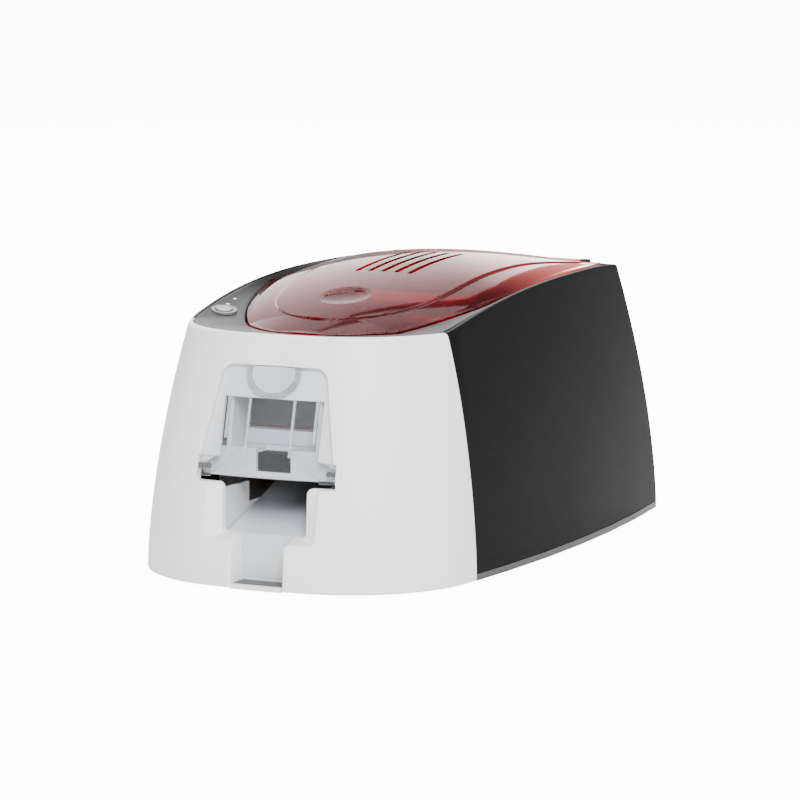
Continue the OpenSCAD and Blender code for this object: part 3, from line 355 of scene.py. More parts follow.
@dataclass(frozen=True)
class CardStock(Finish):
    """Smooth white card, a little cool, with painted shade that darkens it towards the inside of the hopper."""

    colour: Colour = (0.6, 0.66, 0.73)
    # painted shade: how dark it gets, and the Y span over which the darkening comes in
    shade: float = 0.85
    shade_from: float = -0.17
    shade_to: float = -0.128
    hopper_top: float = 0.08

    def build(self) -> bpy.types.Material:
        """Builds the card's surface."""
        graph = ShaderGraph(self.name)
        fleck = graph.noise(900.0, 2.0)
        tone = graph.blend(graph.noise(25.0, 1.0), tuple(c * 0.95 for c in self.colour), self.colour)
        split = graph.node("ShaderNodeSeparateXYZ", None, {0: graph.place()})
        inwards = Value(graph, graph.node("ShaderNodeMapRange", {"interpolation_type": "SMOOTHSTEP"}, {
            "Value": split.outputs[1], "From Min": self.shade_from, "From Max": self.shade_to}).outputs[0])
        # painted shade: below hopper_top the cards blend to near black towards the inside of the hopper
        painted_shade_mask = inwards * (Value(graph, split.outputs[2]) < self.hopper_top) * self.shade
        tone = graph.blend(painted_shade_mask, tone, (0.02, 0.022, 0.025))
        shader = graph.node("ShaderNodeBsdfPrincipled", None, {
            "Base Color": tone, "Roughness": fleck * 0.08 + 0.28,
            "Normal": graph.bump(fleck, 0.00001)})
        return graph.finish(shader.outputs[0])


@dataclass(frozen=True)
class WorkedMetal(Finish):
    """Metal with drawn or brushed marks along one axis."""

    colour: Colour = (0.6, 0.6, 0.62)
    roughness: float = 0.3
    stretch: Point3 = (8.0, 600.0, 600.0)
    depth: float = 0.00001

    def build(self) -> bpy.types.Material:
        """Builds the brushed metal."""
        graph = ShaderGraph(self.name)
        marks = graph.noise(1.0, 3.0, 0.6, self.stretch)
        stain = graph.noise(30.0, 3.0)
        tone = graph.blend(stain * 0.5 + marks * 0.5, tuple(c * 0.75 for c in self.colour), self.colour)
        shader = graph.node("ShaderNodeBsdfPrincipled", None, {
            "Base Color": tone, "Metallic": 1.0, "Roughness": marks * 0.2 + (self.roughness - 0.1),
            "Normal": graph.bump(marks, self.depth)})
        return graph.finish(shader.outputs[0])


@dataclass(frozen=True)
class GroundRubber(Finish):
    """Matte rubber with a ground surface."""

    colour: Colour = (0.03, 0.03, 0.032)

    def build(self) -> bpy.types.Material:
        """Builds the rubber."""
        graph = ShaderGraph(self.name)
        pits = graph.noise(1800.0, 3.0, 0.7)
        dust = graph.noise(35.0, 4.0)
        tone = graph.blend(dust * 0.5, self.colour, tuple(c * 2.2 for c in self.colour))
        shader = graph.node("ShaderNodeBsdfPrincipled", None, {
            "Base Color": tone, "Roughness": pits * 0.2 + 0.68, "Specular IOR Level": 0.3,
            "Normal": graph.bump(pits, 0.00006)})
        return graph.finish(shader.outputs[0])


@dataclass(frozen=True)
class SolderMask(Finish):
    """Green board with lighter tracks."""

    colour: Colour = (0.012, 0.1, 0.045)

    def build(self) -> bpy.types.Material:
        """Builds the board's surface."""
        graph = ShaderGraph(self.name)
        cell = graph.node("ShaderNodeTexVoronoi", {"feature": "DISTANCE_TO_EDGE", "distance": "MANHATTAN"},
                          {"Vector": graph.place(), "Scale": 240.0})
        track = Value(graph, cell.outputs[0]) < 0.07
        tone = graph.blend(track, self.colour, tuple(min(1.0, c * 2.4) for c in self.colour))
        shader = graph.node("ShaderNodeBsdfPrincipled", None, {
            "Base Color": tone, "Roughness": 0.3, "Normal": graph.bump(track, 0.00003)})
        return graph.finish(shader.outputs[0])


class Finishes:
    """The finishes of this printer."""

    WHITE = MouldedPlastic("white_shell_plastic", (0.9, 0.905, 0.91), 0.42, 2600.0, 0.00002, 0.03)
    CHARCOAL = MouldedPlastic("charcoal_shell_plastic", (0.004, 0.004, 0.0043), 0.5, 1500.0, 0.00009, 0.25, 0.07)
    BEZEL = MouldedPlastic("bezel_plastic", (0.015, 0.0155, 0.015), 0.45, 2200.0, 0.00003, 0.08, 0.08)
    INNER = MouldedPlastic("inner_white_plastic", (0.66, 0.68, 0.7), 0.5, 2000.0, 0.00003, 0.05)
    BLACK = MouldedPlastic("black_plastic", (0.012, 0.012, 0.014), 0.45, 1500.0, 0.00005, 0.2)
    DARK = MouldedPlastic("dark_grey_plastic", (0.02, 0.021, 0.024), 0.4, 1500.0, 0.00004, 0.15, 0.2)
    BUTTON = MouldedPlastic("button_plastic", (0.11, 0.115, 0.125), 0.3, 2500.0, 0.00001, 0.05, 0.4, 0.2)
    GEAR = MouldedPlastic("gear_plastic", (0.62, 0.58, 0.48), 0.38, 1800.0, 0.00002, 0.06)
    FILM = MouldedPlastic("ribbon_film", (0.01, 0.01, 0.014), 0.16, 700.0, 0.00001, 0.2, 0.7, 0.6)
    LENS = MouldedPlastic("light_lens", (0.35, 0.4, 0.42), 0.2, 1500.0, 0.00001, 0.05, 0.6, 0.8)
    # painted light: the lid's skin turns bright coral and more opaque towards the rear and the right
    RED = TintedClear("red_lid_plastic", (0.72, 0.012, 0.03), (0.2, 0.002, 0.008), 0.08, 0.6, 0.06,
                      ripple=0.00001, coat=0.55, painted_light=(0.85, 0.045, 0.03), painted_light_share=1.0, fall=5.0)
    # painted shade along the lid's step and the dish rim, with a painted highlight on the left half
    RED_PAINTED_STEP = TintedClear("red_lid_step_painted_shade_and_highlight", (0.5, 0.005, 0.012), (0.07, 0.002, 0.004), 0.6, 0.1, 0.3, coat=0.0,
                           gloss=0.15, painted_light=(0.7, 0.3, 0.3), painted_light_share=0.6, painted_light_way=(-1.0, 0.0, 0.0),
                           painted_light_span=(0.015, 0.05))
    CLEAR = TintedClear("clear_cover_plastic", (0.93, 0.94, 0.95), (0.7, 0.73, 0.76), 0.035, 0.5, 0.08, coat=0.5)
    FROSTED = TintedClear("frosted_dish", (0.9, 0.92, 0.95), (0.74, 0.77, 0.8), 0.7, 0.25, 0.3)
    CLEAR_EDGE = TintedClear("clear_cover_edge", (0.95, 0.96, 0.97), (0.92, 0.94, 0.96), 0.45, 0.4, 0.15)
    CARD = CardStock("card_stock")
    STEEL = WorkedMetal("turned_steel")
    SHEET = WorkedMetal("plated_sheet", (0.5, 0.51, 0.5), 0.38, (300.0, 20.0, 300.0))
    HEAD = WorkedMetal("head_metal", (0.55, 0.56, 0.58), 0.35, (10.0, 300.0, 300.0))
    BRONZE = WorkedMetal("sintered_bronze", (0.45, 0.3, 0.13), 0.4, (400.0, 400.0, 400.0))
    RUBBER = GroundRubber("roller_rubber")
    FOOT = GroundRubber("foot_rubber", (0.02, 0.02, 0.021))
    BOARD = SolderMask("solder_mask")


# Finish of each material slot of the record
SLOT_FINISH: dict[str, Finish] = {
    "white_shell": Finishes.WHITE, "charcoal_shell": Finishes.CHARCOAL, "bezel_grey": Finishes.BEZEL,
    "red_lid": Finishes.RED, "clear_cover": Finishes.CLEAR, "inner_white": Finishes.INNER,
    "card_white": Finishes.CARD, "black_plastic": Finishes.BLACK, "dark_grey_plastic": Finishes.DARK,
    "button_grey": Finishes.BUTTON, "lens": Finishes.LENS, "steel": Finishes.STEEL,
    "plated_sheet": Finishes.SHEET, "head_metal": Finishes.HEAD, "bronze": Finishes.BRONZE,
    "gear_plastic": Finishes.GEAR, "roller_rubber": Finishes.RUBBER, "foot_rubber": Finishes.FOOT,
    "ribbon": Finishes.FILM, "board_green": Finishes.BOARD,
}


def dress_cad_nodes() -> None:
    """Gives every CAD node the finish of its slot in the record."""
    for row in frame["record"]["subparts"]:
        node = frame["nodes"][row["node"]]
        node.data.materials.clear()
        node.data.materials.append(SLOT_FINISH[row["material_slot"]].material())


# ---- Shape helpers ------------------------------------------------------------------


def make_object(name: str, points: Sequence[Point3], faces: Sequence[Sequence[int]],
                merge: float = 0.0) -> bpy.types.Object:
    """Makes an object in metres from points in millimetres.

    Args:
        name: the piece's name.
        points: its points, in millimetres.
        faces: its faces, as rows of point numbers.
        merge: points closer than this many millimetres become one.

    Returns:
        The object, with its faces pointing outwards.
    """
    mesh = bpy.data.meshes.new(name)
    mesh.from_pydata([tuple(c * MM for c in p) for p in points], [], [tuple(f) for f in faces])
    body = bmesh.new()
    body.from_mesh(mesh)
    if merge:
        bmesh.ops.remove_doubles(body, verts=body.verts, dist=merge * MM)
    bmesh.ops.recalc_face_normals(body, faces=body.faces)
    body.to_mesh(mesh)
    body.free()
    made = bpy.data.objects.new(name, mesh)
    bpy.context.scene.collection.objects.link(made)
    return made


def sweep(name: str, stations: Sequence[Sequence[Point3]], closed: bool = False) -> bpy.types.Object:
    """Joins closed cross-sections into one solid.

    Args:
        name: the piece's name.
        stations: cross-sections with the same number of points.
        closed: True where the last one meets the first.

    Returns:
        The object.
    """
    count = len(stations[0])
    points = [p for station in stations for p in station]
    faces: list[list[int]] = []
    for k in range(len(stations) if closed else len(stations) - 1):
        low, high = k * count, ((k + 1) % len(stations)) * count
        for i in range(count):
            j = (i + 1) % count
            faces.append([low + i, high + i, high + j, low + j])
    if not closed:
        faces.append(list(range(count)))
        faces.append(list(range(len(points) - 1, len(points) - count - 1, -1)))
    return make_object(name, points, faces)


def carve(target: bpy.types.Object, cutter: bpy.types.Object, operation: str = "DIFFERENCE") -> bpy.types.Object:
    """Cuts a solid out of a piece, or joins it on, and removes the cutter.

    Args:
        target: the piece that stays.
        cutter: the solid that is used up.
        operation: DIFFERENCE, UNION or INTERSECT.

    Returns:
        The piece.
    """
    modifier = target.modifiers.new("carve", "BOOLEAN")
    modifier.operation = operation
    modifier.solver = "MANIFOLD"
    modifier.object = cutter
    view = bpy.context.evaluated_depsgraph_get()
    mesh = bpy.data.meshes.new_from_object(target.evaluated_get(view))
    target.modifiers.clear()
    target.data = mesh
    bpy.data.objects.remove(cutter)
    return target


def smooth(piece: bpy.types.Object, angle: float = 32.0) -> bpy.types.Object:
    """Shades a piece smooth, with creases sharper than angle left hard.

    Args:
        piece: the piece.
        angle: the least crease that stays hard, in degrees.

    Returns:
        The piece.
    """
    mesh = piece.data
    mesh.polygons.foreach_set("use_smooth", [True] * len(mesh.polygons))
    mesh.set_sharp_from_angle(angle=math.radians(angle))
    mesh.update()
    return piece


def place(piece: bpy.types.Object, body: str, slot: str, *nodes: str) -> bpy.types.Object:
    """Finishes a piece: its material, what it rides on and what it stands for.

    Args:
        piece: the piece.
        body: the body it moves with.
        slot: its material slot in the record.
        nodes: the CAD nodes it replaces.

    Returns:
        The piece.
    """
    piece.data.materials.clear()
    piece.data.materials.append(SLOT_FINISH[slot].material())
    for polygon in piece.data.polygons:
        polygon.material_index = 0
    if nodes:
        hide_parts(*nodes)
    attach(piece, body)
    LOG.info("%s: %d faces on %s", piece.name, len(piece.data.polygons), body)
    return piece


def box_solid(name: str, low: Point3, high: Point3) -> bpy.types.Object:
    """A box between two corners, in millimetres, used as a cutter."""
    corners = [(x, y, z) for x in (low[0], high[0]) for y in (low[1], high[1]) for z in (low[2], high[2])]
    faces = [(0, 1, 3, 2), (4, 6, 7, 5), (0, 4, 5, 1), (2, 3, 7, 6), (0, 2, 6, 4), (1, 5, 7, 3)]
    return make_object(name, corners, faces)


def spin(name: str, profile: Sequence[Point2], frame_of: Matrix, steps: int = 64) -> bpy.types.Object:
    """Turns a closed profile of (radius, height) about its own axis.

    Args:
        name: the piece's name.
        profile: points in millimetres; a radius of 0 is a pole.
        frame_of: where the axis stands, in millimetres.
        steps: how many steps a turn has.

    Returns:
        The object.
    """
    stations = []
    for k in range(steps):
        a = 2 * math.pi * k / steps
        stations.append([tuple(frame_of @ Vector((r * math.cos(a), r * math.sin(a), h))) for r, h in profile])
    count = len(profile)
    points = [p for s in stations for p in s]
    faces = []
    for k in range(steps):
        low, high = k * count, ((k + 1) % steps) * count
        for i in range(count):
            j = (i + 1) % count
            if profile[i][0] or profile[j][0]:
                faces.append([low + i, high + i, high + j, low + j])
    return make_object(name, points, faces, merge=0.001)


def quarter(radius: float, start: float, steps: int = 5) -> list[Point2]:
    """Points on a quarter circle about 0, from start degrees on."""
    return [(radius * math.cos(math.radians(start + 90 * k / steps)),
             radius * math.sin(math.radians(start + 90 * k / steps))) for k in range(steps + 1)]


def interpolate(knots: Sequence[Point2], at: float) -> float:
    """Smooth curve through a few knots.

    Args:
        knots: (place, value) pairs in rising order.
        at: the place.

    Returns:
        The value there.
    """
    if at <= knots[0][0]:
        return knots[0][1]
    if at >= knots[-1][0]:
        return knots[-1][1]
    k = max(i for i in range(len(knots) - 1) if knots[i][0] <= at)

    def slope(i: int) -> float:
        """Slope of the curve at knot i."""
        a, b = knots[max(i - 1, 0)], knots[min(i + 1, len(knots) - 1)]
        return (b[1] - a[1]) / (b[0] - a[0])

    (x0, y0), (x1, y1) = knots[k], knots[k + 1]
    h = x1 - x0
    t = (at - x0) / h
    return ((2 * t ** 3 - 3 * t * t + 1) * y0 + (t ** 3 - 2 * t * t + t) * h * slope(k)
            + (3 * t * t - 2 * t ** 3) * y1 + (t ** 3 - t * t) * h * slope(k + 1))


# ---- The body's form ----------------------------------------------------------------


@dataclass(frozen=True)
class BodyForm:
    """The leaning body, in millimetres: its plan at any height and its rim."""

    width: float = 226.0
    length: float = 381.0
    front_lean: float = 38.6
    side_lean: float = 23.0
    rear_lean: float = 29.3
    front_r: float = 256.0
    corner_r: float = 79.0
    side_r: float = 1184.0
    lean_height: float = 170.0
    lean_power: float = 1.395
    side_power: float = 1.757
    flatten: float = 0.196
    sharpen: float = 0.104
    side_mid_y: float = 24.0
    rear_corner: float = 5.0
    seam_y: float = -106.5
    rim_top: float = 167.0
    front_top: float = 149.3
    rim_mid_y: float = 75.0
    rim_power: float = 2.36

    def lean(self, z: float) -> float:
        """Share of the lean at a height."""
        return (max(z, 0.0) / self.lean_height) ** self.lean_power

    def front_y(self, z: float) -> float:
        """Front of the body on its centre line."""
        return -self.length / 2 + self.front_lean * self.lean(z)

    def rear_y(self, z: float) -> float:
        """Rear of the body."""
        return self.length / 2 - self.rear_lean * self.lean(z)

    def front_radius(self, z: float) -> float:
        """Radius of the front face in plan."""
        return self.front_r * (1 + self.flatten * z / self.lean_height)

    def front_at(self, x: float, z: float, inset: float = 0.0) -> float:
        """The front face's Y at a place, drawn in by inset."""
        radius = self.front_radius(z)
        return self.front_y(z) + radius - math.sqrt((radius - inset) ** 2 - x * x)

    def side_centre(self, z: float) -> Point2:
        """Centre of the side's arc in plan."""
        lean = self.side_lean * (max(z, 0.0) / self.lean_height) ** self.side_power
        return (self.width / 2 - lean - self.side_r, self.side_mid_y)

    def side_at(self, y: float, z: float, inset: float = 0.0) -> float:
        """The side's X at a place, drawn in by inset."""
        cx, cy = self.side_centre(z)
        return cx + math.sqrt((self.side_r - inset) ** 2 - (y - cy) ** 2)

    def edge_x(self, y: float, z: float, inset: float) -> float:
        """X of the outline beside the seam: on the front corner's arc or on the side."""
        (cx, cy), radius = self.corner(z)
        sx, sy = self.side_centre(z)
        if y < cy + (radius - inset) * math.sin(math.atan2(cy - sy, cx - sx)):
            return cx + math.sqrt((radius - inset) ** 2 - (y - cy) ** 2)
        return self.side_at(y, z, inset)

    def corner(self, z: float) -> tuple[Point2, float]:
        """Centre and radius of the front corner in plan."""
        fy = self.front_y(z) + self.front_radius(z)
        sx, sy = self.side_centre(z)
        radius = self.corner_r * (1 - self.sharpen * z / self.lean_height)
        r1, r2 = self.front_radius(z) - radius, self.side_r - radius
        gap = math.hypot(sx, sy - fy)
        ex, ey = sx / gap, (sy - fy) / gap
        along = (r1 * r1 - r2 * r2 + gap * gap) / (2 * gap)
        off = math.sqrt(r1 * r1 - along * along)
        return (along * ex - off * ey, fy + along * ey + off * ex), radius

    def rim(self, y: float) -> float:
        """Height of the covers' top edge."""
        if y < self.seam_y:
            return self.front_top
        drop = self.rim_top - self.front_top
        return self.rim_top - drop * (abs(self.rim_mid_y - y) / (self.rim_mid_y - self.seam_y)) ** self.rim_power

    def front_path(self, share: float, z: float, inset: float) -> Point2:
        """A place on the way round the front, from the left seam (-1) to the right one (1)."""
        (cx, cy), radius = self.corner(z)
        front_c = self.front_y(z) + self.front_radius(z)
        sx, sy = self.side_centre(z)
        reach = radius - inset
        stop = self.seam_y - 0.15
        y_turn = min(cy + reach * math.sin(math.atan2(cy - sy, cx - sx)), stop - 2.0)
        a_front, a_turn = math.atan2(cy - front_c, cx), math.asin((y_turn - cy) / reach)
        t = abs(share)
        if t < 0.45:
            a = -math.pi / 2 + (a_front + math.pi / 2) * t / 0.45
            r = self.front_radius(z) - inset
            x, y = r * math.cos(a), front_c + r * math.sin(a)
        elif t < 0.85:
            a = a_front + (a_turn - a_front) * (t - 0.45) / 0.4
            x, y = cx + reach * math.cos(a), cy + reach * math.sin(a)
        else:
            y = y_turn + (stop - y_turn) * (t - 0.85) / 0.15
            x = self.edge_x(y, z, inset)
        return (math.copysign(x, share), y)

    def side_path(self, share: float, z: float, inset: float, rear_x: float) -> Point2:
        """A place on the way along the right side, from the seam (0) to the rear return (1)."""
        sx, sy = self.side_centre(z)
        corner = max(self.rear_corner, inset + 1)
        a_rear = math.asin((self.rear_y(z) - corner - sy) / (self.side_r - corner))
        cx = sx + (self.side_r - corner) * math.cos(a_rear)
        cy = sy + (self.side_r - corner) * math.sin(a_rear)
        if share < 0.8:
            y1 = sy + (self.side_r - inset) * math.sin(a_rear)
            y = self.seam_y + 0.15 + (y1 - self.seam_y - 0.15) * share / 0.8
            return (self.edge_x(y, z, inset), y)
        a = a_rear + (math.pi / 2 - a_rear) * min(share - 0.8, 0.12) / 0.12
        x, y = cx + (corner - inset) * math.cos(a), cy + (corner - inset) * math.sin(a)
        if share > 0.92:
            x += (rear_x - x) * (share - 0.92) / 0.08
        return (x, y)

    def wall_section(self, low: float, high: float, wall: float, foot_r: float, top_r: float,
                     rows: int) -> list[Point2]:
        """Closed cross-section of a cover's wall as (height, inset) pairs.

        Args:
            low: height of its foot.
            high: height of its top.
            wall: its thickness.
            foot_r: outer rounding at the foot.
            top_r: outer rounding at the top.
            rows: rows of faces up the outer side.

        Returns:
            The pairs, up the outside and down the inside.
        """
        turn = [math.radians(15 * k) for k in range(7)]
        section = [(low + foot_r * (1 - math.cos(a)), foot_r * (1 - math.sin(a))) for a in turn]
        start, stop = low + foot_r, high - top_r
        section += [(start + (stop - start) * k / rows, 0.0) for k in range(1, rows)]
        section += [(high - top_r * (1 - math.sin(a)), top_r * (1 - math.cos(a))) for a in turn]
        section += [(high, wall - 0.25), (high - 0.25, wall)]
        section += [(high - 0.25 + (low - high + 0.25) * k / 8, wall) for k in range(1, 9)]
        return section


FORM = BodyForm()


def join(name: str, *parts: bpy.types.Object) -> bpy.types.Object:
    """Puts the meshes of several objects into one object and removes them."""
    body = bmesh.new()
    for part in parts:
        body.from_mesh(part.data)
        bpy.data.objects.remove(part)
    mesh = bpy.data.meshes.new(name)
    body.to_mesh(mesh)
    body.free()
    made = bpy.data.objects.new(name, mesh)
    bpy.context.scene.collection.objects.link(made)
    return made


def offset(outline: Sequence[Point2], grow: float) -> list[Point2]:
    """Moves the points of a counter-clockwise outline outwards by grow."""
    if not grow:
        return list(outline)
    count = len(outline)
    moved = []
    for k in range(count):
        (ax, az), (bx, bz), (cx, cz) = outline[k - 1], outline[k], outline[(k + 1) % count]
        n1 = Vector((bz - az, ax - bx)).normalized()
        n2 = Vector((cz - bz, bx - cx)).normalized()
        mean = n1 + n2
        mean *= 1.0 / max(mean.dot(n1), 0.4)
        moved.append((bx + grow * mean.x, bz + grow * mean.y))
    return moved


def rounded(corners: Sequence[tuple[float, float, float]], steps: int = 8) -> list[Point2]:
    """Outline through corners of (x, z, radius), each rounded in steps."""
    outline = []
    count = len(corners)
    for k in range(count):
        x, z, radius = corners[k]
        here = Vector((x, z))
        back = (Vector(corners[k - 1][:2]) - here).normalized()
        ahead = (Vector(corners[(k + 1) % count][:2]) - here).normalized()
        half = back.angle(ahead) / 2
        if radius <= 0:
            outline.append((x, z))
            continue
        reach = radius / math.tan(half)
        centre = here + (back + ahead).normalized() * (radius / math.sin(half))
        first, last = here + back * reach - centre, here + ahead * reach - centre
        turn = first.angle_signed(last)
        for i in range(steps + 1):
            a = -turn * i / steps
            c, s = math.cos(a), math.sin(a)
            outline.append((centre.x + first.x * c - first.y * s, centre.y + first.x * s + first.y * c))
    return outline


@dataclass
class FaceSolid:
    """A solid whose outline is drawn on the leaning front face and stepped inwards in layers."""

    name: str
    centre: Point2
    layers: list[tuple[list[Point2], float, float]] = field(default_factory=list)

    def at_depth(self, outline: list[Point2], depth: float) -> "FaceSolid":
        """Adds a layer that follows the front face at a depth."""
        self.layers.append((outline, depth, -999.0))
        return self

    def at_plane(self, outline: list[Point2], y: float, least: float = -99.0) -> "FaceSolid":
        """Adds a layer that lies in an upright plane, but nowhere less deep than least."""
        self.layers.append((outline, least, y))
        return self

    def lip(self, outline: list[Point2], radius: float, depth: float, steps: int = 5) -> "FaceSolid":
        """Adds the layers of a cutter with a rounded mouth that starts outside the face."""
        self.at_depth(offset(outline, radius), -9.0)
        for k in range(steps + 1):
            a = math.radians(90 * k / steps)
            self.at_depth(offset(outline, radius * (1 - math.sin(a))), radius * (1 - math.cos(a)))
        if depth > radius:
            self.at_depth(outline, depth)
        return self

    def build(self, rings: int = 6) -> bpy.types.Object:
        """Makes the solid, with both ends closed by rings that follow the face."""
        points: list[Point3] = []
        faces: list[list[int]] = []
        count = len(self.layers[0][0])

        def put(x: float, z: float, depth: float, plane: float) -> None:
            """Adds one point of a layer."""
            points.append((x, max(plane, FORM.front_at(x, z, depth)), z))

        for outline, depth, plane in self.layers:
            for x, z in outline:
                put(x, z, depth, plane)
        for k in range(len(self.layers) - 1):
            for i in range(count):
                j = (i + 1) % count
                faces.append([k * count + i, k * count + j, (k + 1) * count + j, (k + 1) * count + i])
        cx, cz = self.centre
        for which in (0, len(self.layers) - 1):
            outline, depth, plane = self.layers[which]
            ring = which * count
            for r in range(1, rings):
                share = 1 - r / rings
                start = len(points)
                for x, z in outline:
                    put(cx + (x - cx) * share, cz + (z - cz) * share, depth, plane)
                for i in range(count):
                    j = (i + 1) % count
                    faces.append([ring + i, ring + j, start + j, start + i])
                ring = start
            put(cx, cz, depth, plane)
            faces += [[ring + i, ring + (i + 1) % count, len(points) - 1] for i in range(count)]
        return make_object(self.name, points, faces)


@dataclass(frozen=True)
class Repeat:
    """Copies a piece along a line with a Geometry Nodes tree."""

    count: int
    step: Point3

    def tree(self) -> bpy.types.NodeTree:
        """The node tree: a line of points, an instance on each, made real."""
        group = bpy.data.node_groups.new("repeat_along_line", "GeometryNodeTree")
        face = group.interface
        face.new_socket("Piece", in_out="INPUT", socket_type="NodeSocketGeometry")
        face.new_socket("Count", in_out="INPUT", socket_type="NodeSocketInt")
        face.new_socket("Step", in_out="INPUT", socket_type="NodeSocketVector")
        face.new_socket("Material", in_out="INPUT", socket_type="NodeSocketMaterial")
        face.new_socket("Pieces", in_out="OUTPUT", socket_type="NodeSocketGeometry")
        made = {kind: group.nodes.new(kind) for kind in (
            "NodeGroupInput", "NodeGroupOutput", "GeometryNodeMeshLine", "GeometryNodeInstanceOnPoints",
            "GeometryNodeRealizeInstances", "GeometryNodeSetMaterial")}
        given, line = made["NodeGroupInput"], made["GeometryNodeMeshLine"]
        copies, real = made["GeometryNodeInstanceOnPoints"], made["GeometryNodeRealizeInstances"]
        paint, out = made["GeometryNodeSetMaterial"], made["NodeGroupOutput"]
        for source, target in (
                (given.outputs["Count"], line.inputs["Count"]), (given.outputs["Step"], line.inputs["Offset"]),
                (line.outputs[0], copies.inputs["Points"]), (given.outputs["Piece"], copies.inputs["Instance"]),
                (copies.outputs[0], real.inputs[0]), (real.outputs[0], paint.inputs[0]),
                (given.outputs["Material"], paint.inputs["Material"]), (paint.outputs[0], out.inputs[0])):
            group.links.new(source, target)
        return group

    def apply(self, piece: bpy.types.Object, finish: Finish) -> bpy.types.Object:
        """Replaces a piece's mesh with its copies.

        Args:
            piece: the piece to copy.
            finish: the copies' finish.

        Returns:
            The piece.
        """
        group = self.tree()
        modifier = piece.modifiers.new("repeat", "NODES")
        modifier.node_group = group
        values = {"Count": self.count, "Step": [c * MM for c in self.step], "Material": finish.material()}
        for item in group.interface.items_tree:
            if item.in_out == "INPUT" and item.name in values:
                modifier[item.identifier] = values[item.name]
        piece.update_tag()
        view = bpy.context.evaluated_depsgraph_get()
        mesh = bpy.data.meshes.new_from_object(piece.evaluated_get(view))
        piece.modifiers.clear()
        piece.data = mesh
        return piece


# ---- Front cover --------------------------------------------------------------------


@dataclass
class FrontCover:
    """White front cover with the feeder's pocket, the output opening and its finger slot."""

    foot_z: float = 1.5
    wall: float = 2.6
    stations: int = 176
    shoulder_z: float = 62.0
    ledge_z: float = 29.5
    ledge_back_z: float = 32.6
    ledge_back_y: float = -172.77
    throat_y: float = -177.57
    open_half: float = 35.3
    throat_half: float = 28.0
    slot_half: float = 17.0
    deep_y: float = -168.8
    lip_r: float = 2.0

    def build(self) -> None:
        """Makes the cover."""
        cover = self._wall()
        for part in (self._pocket_block(), self._jamb_block()):
            carve(cover, part, "UNION")
        for part in (self._pocket(), self._throat(), dish_cutter(),
                     box_solid("cut", (-33, -215, 82), (33, -120, 112)),
                     box_solid("cut", (-33, -215, self.shoulder_z + 0.01), (33, -120, 82.01)),
                     box_solid("cut", (-45.9, -215, self.shoulder_z + 0.02), (45.9, self.deep_y, 76.98)),
                     self._bush_bores()):
            carve(cover, part)
        cover = join("front_cover_shell", cover, self._flange())
        place(smooth(cover), "housing", "white_shell", "front_cover")

    def _wall(self) -> bpy.types.Object:
        """The bent outer wall with rounded foot and top."""
        section = FORM.wall_section(self.foot_z, FORM.front_top, self.wall, 1.3, 2.3, 44)
        stations = []
        for k in range(self.stations + 1):
            share = -1 + 2 * k / self.stations
            stations.append([(*FORM.front_path(share, z, inset), z) for z, inset in section])
        return sweep("front_cover_wall", stations)

    def _flange(self) -> bpy.types.Object:
        """The ledge inside the top edge that the bezel rests on."""
        section = [(146.1, 2.5), (146.1, 6.6), (144.1, 6.6), (144.1, 2.5)]
        stations = [[(*FORM.front_path(-1 + k / 30, z, inset), z) for z, inset in section] for k in range(61)]
        return sweep("front_cover_flange", stations)

    def _pocket_block(self) -> bpy.types.Object:
        """Thickening behind the wall that holds the pocket."""
        outline = offset(cover_outline(self.shoulder_z - 2, False), 3.0)
        return FaceSolid("pocket_block", (0, 95)).at_depth(outline, 1.3).at_depth(outline, 6.6).build()

    def _jamb_block(self) -> bpy.types.Object:
        """Walls beside the output opening."""
        x = self.open_half + 2.6
        outline = [(-x, self.foot_z + 0.05), (x, self.foot_z + 0.05), (x, self.shoulder_z), (-x, self.shoulder_z)]
        fine = [point for k in range(4) for point in
                [(outline[k][0] + (outline[(k + 1) % 4][0] - outline[k][0]) * i / 12,
                  outline[k][1] + (outline[(k + 1) % 4][1] - outline[k][1]) * i / 12) for i in range(12)]]
        return FaceSolid("jambs", (0, 32)).at_depth(fine, 1.3).at_plane(fine, self.ledge_back_y).build()

    def _pocket(self) -> bpy.types.Object:
        """Cutter of the pocket that the feeder cover lies in."""
        outline = offset(cover_outline(self.shoulder_z + 0.4, False), 0.4)
        return FaceSolid("pocket", (0, 95)).lip(outline, 0.5, 4.0).build()

    def _opening(self, half: float, ledge: float, top_flare: float) -> list[Point2]:
        """Outline of the output opening over its finger slot."""
        right = [(self.slot_half, -6, 0), (self.slot_half, ledge, 3.2), (half, ledge, 3.0),
                 (half, self.shoulder_z, 3.4), (half + top_flare, self.shoulder_z, 0),
                 (half + top_flare, 66.5, 0)]
        left = [(-x, z, r) for x, z, r in reversed(right)]
        return rounded(right + left)

    def _throat(self) -> bpy.types.Object:
        """Cutter of the output opening, which narrows inwards from its rounded mouth."""
        mouth = self._opening(self.open_half, self.ledge_z, 3.6)
        inner = self._opening(self.throat_half, self.ledge_back_z, 3.6)
        way = FaceSolid("throat", (0, 48)).lip(mouth, self.lip_r, 0)
        way.at_plane(inner, self.throat_y, 4.0)
        way.at_plane(inner, self.ledge_back_y + 2)
        return way.build(3)

    def _bush_bores(self) -> bpy.types.Object:
        """Cutter of the seats of the feeder cover's bushes."""
        return join("bores", *(rod_piece("bore", s * 46.2 - 3, s * 46.2 + 3, AXIS_Y, AXIS_Z, 2.48) for s in (-1, 1)))


AXIS_Y = -171.4
AXIS_Z = 70.6
DISH_Z = 127.4
DISH_R = 14.5
DISH_DEPTH = 2.6
DISH_STRETCH = 1.19


